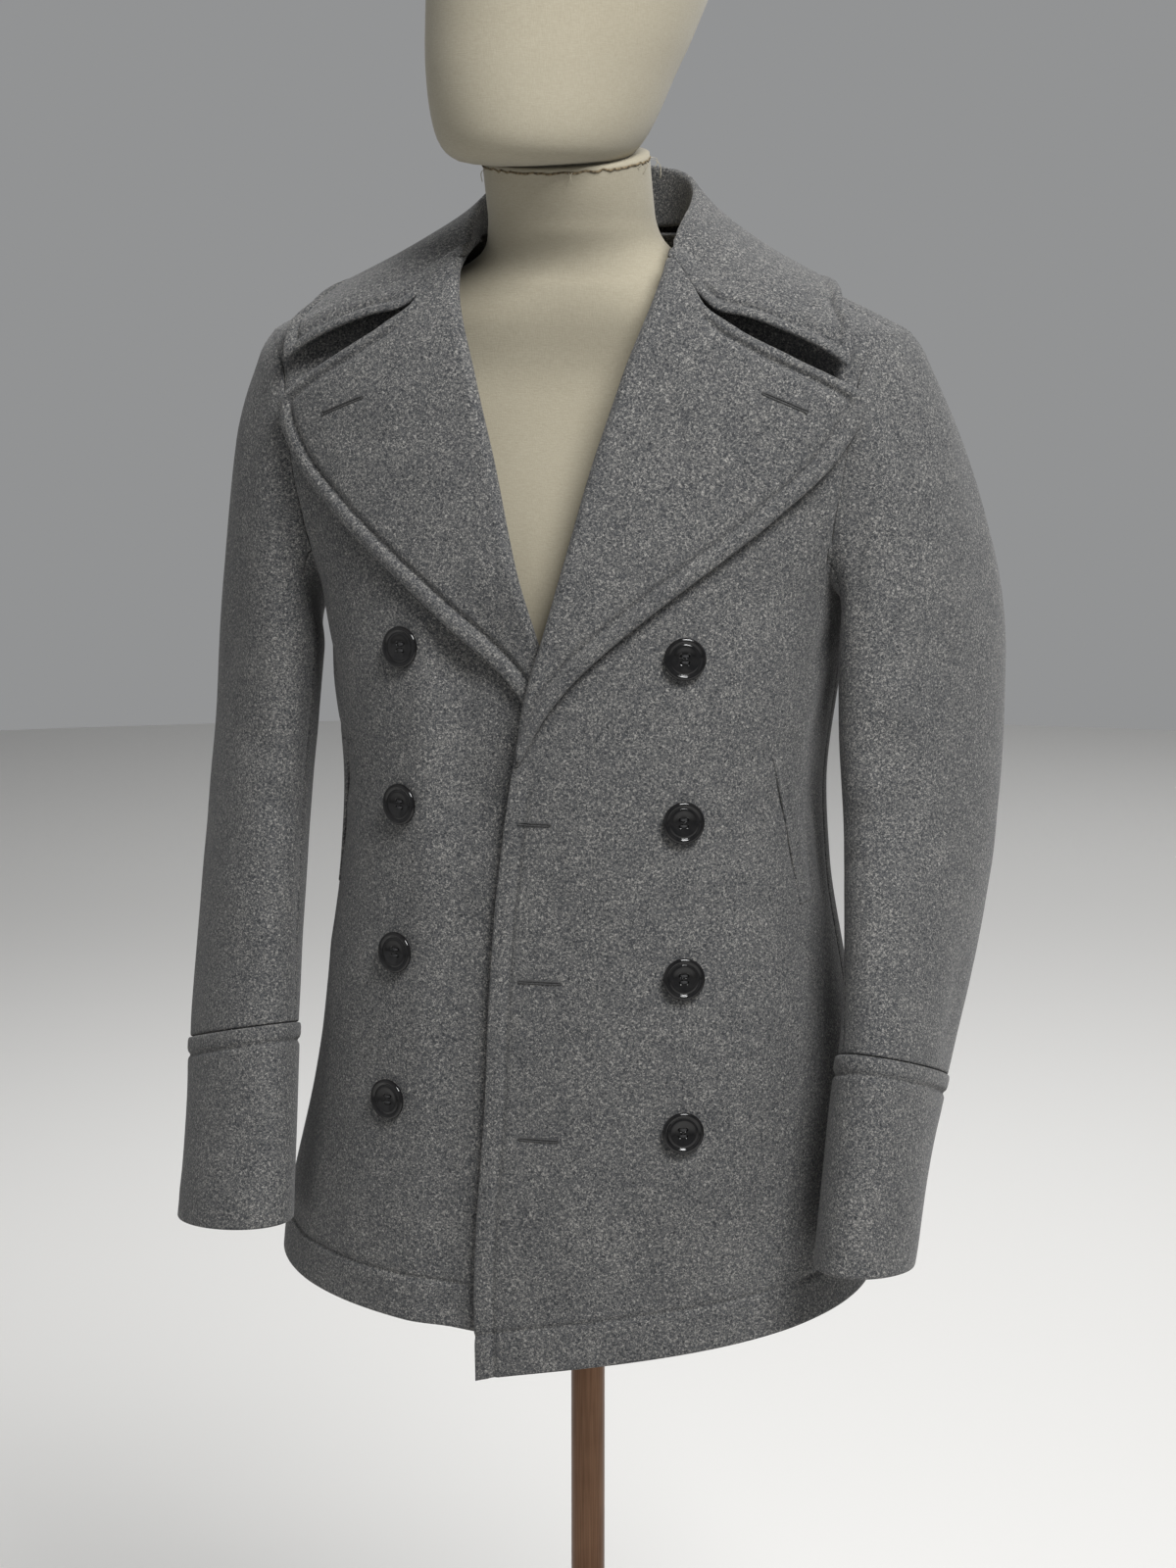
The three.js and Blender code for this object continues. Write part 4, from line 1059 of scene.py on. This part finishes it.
# ---- Coat: sleeves ----
# Two-piece sleeves, an upper and an under, set into the armholes with a slightly full head.
# They hang forward at the elbow, and their seams run down the inside and the back of the arm.
SEAM_GAP = 0.4
SLEEVE_GAP = -1.6
SLEEVE_CAP = 150
SLEEVE_WIDTH = {"upper": 290, "under": 160}
SLEEVE_SEAM = (0, 3, 0.5)
UNDERARM_STAND = -0.3
ARM_STEP = 18.0
ARM_START = 300
CUFF_DEPTH = 128
ARM_LEFT = table(
    "down out ahead deep wide turn",
    (300, 240, 0, 86, 39, 27),
    (350, 241, 6, 83, 38, 28),
    (400, 242, 14, 79, 37, 27),
    (450, 241, 28, 76, 36, 23),
    (500, 239, 46, 71, 35, 18),
    (550, 235, 65, 66, 34, 12),
    (592, 230, 82, 61, 34, 8),
    (640, 226, 100, 58, 33, 5),
    (694, 222, 118, 56, 32, 3),
)
ARM_RIGHT = table(
    "down out ahead deep wide turn",
    (300, 238, 0, 84, 37, 27),
    (350, 241, 4, 81, 36, 28),
    (400, 244, 12, 78, 36, 29),
    (450, 245, 24, 75, 36, 31),
    (500, 245, 38, 71, 36, 33),
    (550, 244, 54, 66, 36, 37),
    (592, 242, 68, 62, 35, 40),
    (640, 240, 84, 59, 35, 44),
    (700, 238, 102, 57, 35, 47),
)
SLEEVE_FOLDS_LEFT = (  # angle round the sleeve and down of both ends, bow in degrees, width, depth
    (24, 408, -4, 452, 3, 6, 2.2),
    (52, 380, 34, 420, -4, 9, 1.6),
    (70, 250, 56, 330, 4, 16, 1.9),
    (100, 480, 88, 560, 3, 15, 1.7),
    (20, 395, -30, 425, 0, 11, 3.8),
    (10, 432, -34, 446, 0, 10, 2.9),
    (40, 330, 12, 372, 6, 14, 2.2),
    (60, 455, 20, 470, 0, 16, -1.9),
    (150, 380, 175, 420, 0, 14, 2.6),
    (155, 440, 185, 452, 0, 12, 2.6),
    (80, 130, 70, 230, 6, 24, 1.9),
    (30, 300, 55, 350, 0, 18, -1.9),
)
SLEEVE_FOLDS_RIGHT = (
    (60, 240, 76, 330, -4, 17, 1.8),
    (104, 410, 86, 470, 4, 12, 1.6),
    (86, 500, 96, 570, 3, 15, 1.5),
    (18, 402, -28, 436, 0, 12, 2.9),
    (34, 350, 8, 388, 5, 14, 2.1),
    (66, 470, 24, 482, 0, 16, -1.6),
    (150, 392, 176, 428, 0, 14, 2.4),
    (80, 140, 66, 240, 6, 24, 1.6),
    (40, 500, 20, 560, 0, 18, 1.4),
)
ARMS = {"left": ARM_LEFT, "right": ARM_RIGHT}
SLEEVE_FOLDS = {"left": SLEEVE_FOLDS_LEFT, "right": SLEEVE_FOLDS_RIGHT}


def underarm(turn):
    return ease(-0.3, 0.5, -np.sin(np.radians(turn)))


def sleeve_start(turn):
    """Start of the sleeve round the armhole, the body's normal there and the way off the body."""
    def seam_point(at):
        down, angle = armhole(at)
        return body_point(angle, down)
    down, angle = armhole(turn)
    normal = body_normal(angle, down)
    away = unit(np.cross(unit(seam_point(turn + 2) - seam_point(turn - 2)), normal))
    stand = (UNDERARM_STAND * underarm(turn))[..., None]
    return seam_point(turn) + away * SLEEVE_GAP + normal * (stand - 0.4), normal, away


def arm_point(arm, turn, down, inset=0.0):
    """Point round the arm's tube at one level."""
    down, turn = np.broadcast_arrays(np.asarray(down, float), np.asarray(turn, float))
    middle, ahead, deep, wide, faced = columns(arm, "down", down, "out ahead deep wide turn")
    rad, faced = np.radians(turn), np.radians(faced)
    along, across = (deep - inset) * np.cos(rad), (wide - inset) * np.sin(rad)
    slope = (curve(arm, "down", down + 15, "ahead") - curve(arm, "down", down - 15, "ahead")) / 30
    x = middle + across * np.cos(faced) - along * np.sin(faced)
    y = -ahead - along * np.cos(faced) - across * np.sin(faced)
    return np.stack([x, y, SHOULDER_Z - down + slope * along * 0.9], -1)


def sleeve_grid(arm, turns):
    """Grid of a sleeve: rows from the armhole down to the cuff, columns at angles round it."""
    first, normal, away = sleeve_start(turns)
    end = arm_point(arm, turns, ARM_START)
    end_way = unit(arm_point(arm, turns, ARM_START + 8) - end)
    rise = np.sin(np.radians(turns))[:, None]
    reach = np.linalg.norm(end - first, axis=-1)[:, None]
    start_way = unit(end - first) * 0.6 + away * (0.3 + 0.3 * rise)
    start_way = unit(start_way + normal * (0.15 + 0.65 * np.maximum(-rise, 0)))
    near, far = first + start_way * 0.3 * reach, end - end_way * 0.4 * reach
    cap = []
    for t in spaced(SLEEVE_CAP, COLUMN_STEP, far=(0, 1))[:-1]:
        bend = first * (1 - t) ** 3 + near * 3 * t * (1 - t) ** 2 + far * 3 * t * t * (1 - t)
        cap.append(bend + end * t**3)
    cuff_top = arm["down"][-1] - CUFF_DEPTH - SEAM_GAP
    share = spaced(cuff_top - ARM_START, ROW_STEP, near=(0, 1))
    levels = blend(ARM_START, cuff_top, share)[:, None]
    return np.concatenate([np.array(cap), arm_point(arm, turns[None, :], levels)])


def sewn_round(name, node, side, grid, outward, height, wall, closed=False):
    """A wool piece round an arm: its surface moved out by the height and given a wall."""
    moved = grid + normals_of(grid, outward, closed) * height[..., None]
    flip = np.array([side, 1, 1])
    piece = cloth_wall(name, moved * flip, wall, outward * flip, closed)
    finished(piece, wool, "wool", node)
    return piece


def sleeve(word, side, part):
    arm = ARMS[word]
    low, high = (-2 * ARM_STEP, 11 * ARM_STEP) if part == "upper" else (11 * ARM_STEP, 18 * ARM_STEP)
    turns = blend(low + 0.2, high - 0.2, spaced(SLEEVE_WIDTH[part], FRONT_STEP))
    grid = sleeve_grid(arm, turns)
    outward = unit(grid - sleeve_grid(arm, np.arange(0, 360, ARM_STEP)).mean(axis=1, keepdims=True))
    _, normal, away = sleeve_start(turns)
    outward[:4] = normal + away * 0.3
    top, _, first, last = from_edges(grid)
    height = folds(grid, lambda turn, down: arm_point(arm, turn, down), *SLEEVE_FOLDS[word])
    full = ease(-0.2, 0.6, np.sin(np.radians(turns)))[None, :]
    height += 1.6 * np.exp(-(((top - 14) / 12) ** 2)) * full
    height += stitched(first, *SLEEVE_SEAM) + stitched(last, *SLEEVE_SEAM)
    names = f"coat_sleeve_{part}_{word}", f"sleeve_{part}_{word}"
    piece = sewn_round(*names, side, grid, outward, height, CLOTH_WALL)


for word, side in SIDES.items():
    sleeve(word, side, "upper")
    sleeve(word, side, "under")

# ---- Coat: cuffs ----
# A deep turned-back cuff closes each sleeve: a band of the wool folded over the sleeve's end.
# Its upper edge stands proud in a fine ridge, with one line of stitches below it.
CUFF_WALL = 3
CUFF_PROUD = 1.5
CUFF_STITCH = (13, 1.8, 1.7)
CUFF_PLUMP = (6, 4.0, -0.7)
CUFF_FOLDS = (
    (30, 610, 34, 690, 3, 14, 1.4),
    (120, 590, 128, 680, -4, 18, 1.8),
    (75, 640, 80, 700, 2, 16, -1.2),
    (220, 600, 214, 690, 3, 14, 1.8),
)


def cuff(word, side):
    arm = ARMS[word]
    end = arm["down"][-1]
    share = spaced(CUFF_DEPTH, 4, near=beside(CUFF_STITCH[0]))
    downs = blend(end - CUFF_DEPTH, end, share)[:, None]
    grid = arm_point(arm, np.arange(0, 360, 4.0)[None, :], downs, -CUFF_PROUD)
    outward = unit(grid - grid.mean(axis=1, keepdims=True))
    top = from_edges(grid, closed=True)[0]
    height = stitched(top, *CUFF_STITCH) + stitched(top, *CUFF_PLUMP)
    height += folds(grid, lambda turn, down: arm_point(arm, turn, down), *CUFF_FOLDS)
    names = f"coat_cuff_{word}", f"cuff_{word}"
    piece = sewn_round(*names, side, grid, outward, height, CUFF_WALL, closed=True)


for word, side in SIDES.items():
    cuff(word, side)

# ---- Coat: buttonholes ----
# Each lapel has one keyhole buttonhole near its corner, and the over front has three straight ones
# at its edge. All are cut slits with their edges worked over in dark buttonhole twist.
TWIST_RADIUS = 0.65
TWIST_PROUD = 0.15
SLIT_HALF = 0.8
EYELET_RADIUS = 2.3
BUTTONHOLES = (  # piece, number, out and down at both ends, then whether the first end is an eyelet
    ("coat_lapel_right", 1, (158, 123), (127, 111), True),
    ("coat_lapel_left", 1, (169, 118), (141, 106), True),
    ("coat_front_left", 2, (-13, 392), (10, 392), False),
    ("coat_front_left", 3, (-12, 500), (18, 500), False),
    ("coat_front_left", 4, (-9, 609), (19, 609), False),
)

twist = Finish("buttonhole_twist", Roughness=0.85)
twist.feed(Base_Color=twist.ramp(
    twist.noise(1800, 2),
    (0.35, (0.012, 0.012, 0.013)),
    (0.65, (0.075, 0.075, 0.074)),
))


def laid_on(surface, points):
    """Points moved onto a piece's outer surface, with the cloth's facing direction at each."""
    grid, normal = (part.reshape(-1, 3) for part in surfaces[surface])
    nearest = np.argmin(np.linalg.norm(grid[None] - points[:, None], axis=-1), axis=1)
    facing = normal[nearest]
    gap = np.sum((points - grid[nearest]) * facing, -1, keepdims=True)
    return points - facing * gap, facing


def buttonhole(surface, number, first, last, eyelet):
    side = SIDES[surface.split("_")[-1]]
    out, down = np.array([first, last], float).T
    ends = hung(body_point(angle_at(out, down), down), side)
    (head_end, tail_end), facing = laid_on(surface, ends)
    along, half = unit(tail_end - head_end), np.linalg.norm(tail_end - head_end) / 2
    across = unit(np.cross(facing[0], along))
    turn = np.radians(np.arange(0, 360, 15))
    swell = np.full_like(turn, SLIT_HALF)
    if eyelet:
        swell = blend(SLIT_HALF, EYELET_RADIUS, ease(-0.86, -0.98, np.cos(turn)))
    u = half * np.cos(turn)
    v = swell * np.sign(np.sin(turn)) * np.abs(np.sin(turn)) ** 0.3
    path = (head_end + tail_end) / 2 + u[:, None] * along + v[:, None] * across
    points, facing = laid_on(surface, path)
    name = f"{surface}_buttonhole_{number}"
    finished(tube(name, points + facing * TWIST_PROUD, facing, TWIST_RADIUS, True), twist, "wool")

for hole in BUTTONHOLES:
    buttonhole(*hole)

# ---- Coat: buttons ----
# Large black buttons of polished horn resin, turned with a raised rim, a groove and a dished middle.
# Each has four holes, and is sewn on with black thread that crosses the middle in two bars.
BUTTON_LIFT = 1.2
BUTTON_HOLE = {"radius": 1.15, "out": 2.1, "sides": 20}
BUTTONS = (  # down and out on the left front, then on the right
    (279, 97, 277, 98),
    (389, 97, 385, 99),
    (495, 99, 488, 102),
    (601, 101, 592, 107),
)
BUTTON_OUTLINE = (  # radius and height, from the middle of the underside over the rim to the top
    (0, 0), (11.2, 0), (13.4, 0.7), (14.1, 1.7), (14.25, 2.5), (14.0, 3.4), (13.4, 4.0), (12.5, 4.2),
    (11.6, 4.0), (11.0, 3.5), (10.6, 3.05), (10.2, 3.0), (9.8, 3.25), (9.2, 3.45), (8.2, 3.35),
    (6.6, 2.85), (5.2, 2.5), (3.6, 2.35), (0, 2.3),
)
BAR = {"rings": 9, "past": 0.3, "low": 1.6, "rise": 1.35, "radius": 0.33, "apart": 0.5}

horn = Finish("horn", Specular_IOR_Level=0.35, Coat_Weight=0.25, Coat_Roughness=0.04)
swirl = horn.noise(90, 4, distortion=2.0)
horn.feed(
    Base_Color=horn.ramp(swirl, (0.35, (0.002, 0.002, 0.0025)), (0.75, (0.009, 0.0085, 0.0085))),
    Roughness=0.05 + swirl * 0.10,
)
thread = Finish("thread", Roughness=0.8)
thread.feed(Base_Color=thread.ramp(
    thread.noise(2500, 2),
    (0.3, (0.008, 0.008, 0.009)),
    (0.7, (0.05, 0.05, 0.052)),
))


def make_button():
    """One button, lying on z = 0, with its four holes drilled through."""
    blank = turned("button_blank", BUTTON_OUTLINE, ROUND_SIDES)
    radius = BUTTON_HOLE["radius"]
    for x in (-1, 1):
        for y in (-1, 1):
            drill = turned("drill", [(0, -4), (radius, -4), (radius, 9), (0, 9)], BUTTON_HOLE["sides"])
            drill.location = (x * BUTTON_HOLE["out"] * MM, y * BUTTON_HOLE["out"] * MM, 0)
            cut = blank.modifiers.new("hole", "BOOLEAN")
            cut.operation = "DIFFERENCE"
            cut.object = drill
            cut.solver = "EXACT"
            bpy.context.view_layer.update()
            bpy.context.view_layer.objects.active = blank
            bpy.ops.object.modifier_apply(modifier=cut.name)
            bpy.data.objects.remove(drill)
    return blank


def make_thread():
    """Two bars of thread, each of three strands, that arch over the button between its holes."""
    points, faces = [], []
    end, radius = BUTTON_HOLE["out"] + BAR["past"], BAR["radius"]
    for y in (-1, 1):
        for strand in (-BAR["apart"], 0, BAR["apart"]):
            start = len(points)
            across = y * BUTTON_HOLE["out"] + strand
            for share in np.linspace(0, 1, BAR["rings"]):
                x = blend(-end, end, share)
                z = BAR["low"] + BAR["rise"] * math.sin(math.pi * share) ** 0.5
                for turn in np.arange(THREAD_SIDES) * 2 * math.pi / THREAD_SIDES:
                    points.append((x, across + radius * math.cos(turn), z + radius * math.sin(turn)))
            faces += [[start + i for i in face] for face in ring_faces(BAR["rings"], THREAD_SIDES)]
            for cap in (start, len(points) - THREAD_SIDES):
                faces.append([cap + i for i in range(THREAD_SIDES)])
    return make_mesh("thread_bars", points, faces)


def mesh_only(piece, finish):
    """A piece's mesh with its material, once the piece itself is taken off the scene."""
    mesh = piece.data
    bpy.data.objects.remove(piece)
    mesh.materials.clear()
    mesh.materials.append(finish.material)
    return mesh


button_parts = {
    "button": mesh_only(make_button(), horn),
    "button_thread": mesh_only(make_thread(), thread),
}

for number, (left, left_out, right, right_out) in enumerate(BUTTONS, 1):
    for word, down, out in (("left", left, left_out), ("right", right, right_out)):
        side = SIDES[word]
        angle = angle_at(np.array(float(out)), np.array(float(down)))
        normal = body_normal(angle, down)
        place = hung(body_point(angle, down) + normal * BUTTON_LIFT, side)
        facing = normal * (side, 1, 1)
        across = unit(np.cross((0, 0, 1.0), facing))
        upward = np.cross(facing, across)
        for label, mesh in button_parts.items():
            shape = mesh.copy()
            spots = np.empty(len(shape.vertices) * 3)
            shape.vertices.foreach_get("co", spots)
            spots = spots.reshape(-1, 3) @ np.array([across, upward, facing]) + place * MM
            shape.vertices.foreach_set("co", spots.ravel())
            piece = bpy.data.objects.new(f"coat_{label}_{word}_{number}", shape)
            bpy.context.scene.collection.objects.link(piece)
            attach(piece, "root")
            if label == "button":
                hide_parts(f"button_{word}_{number}")
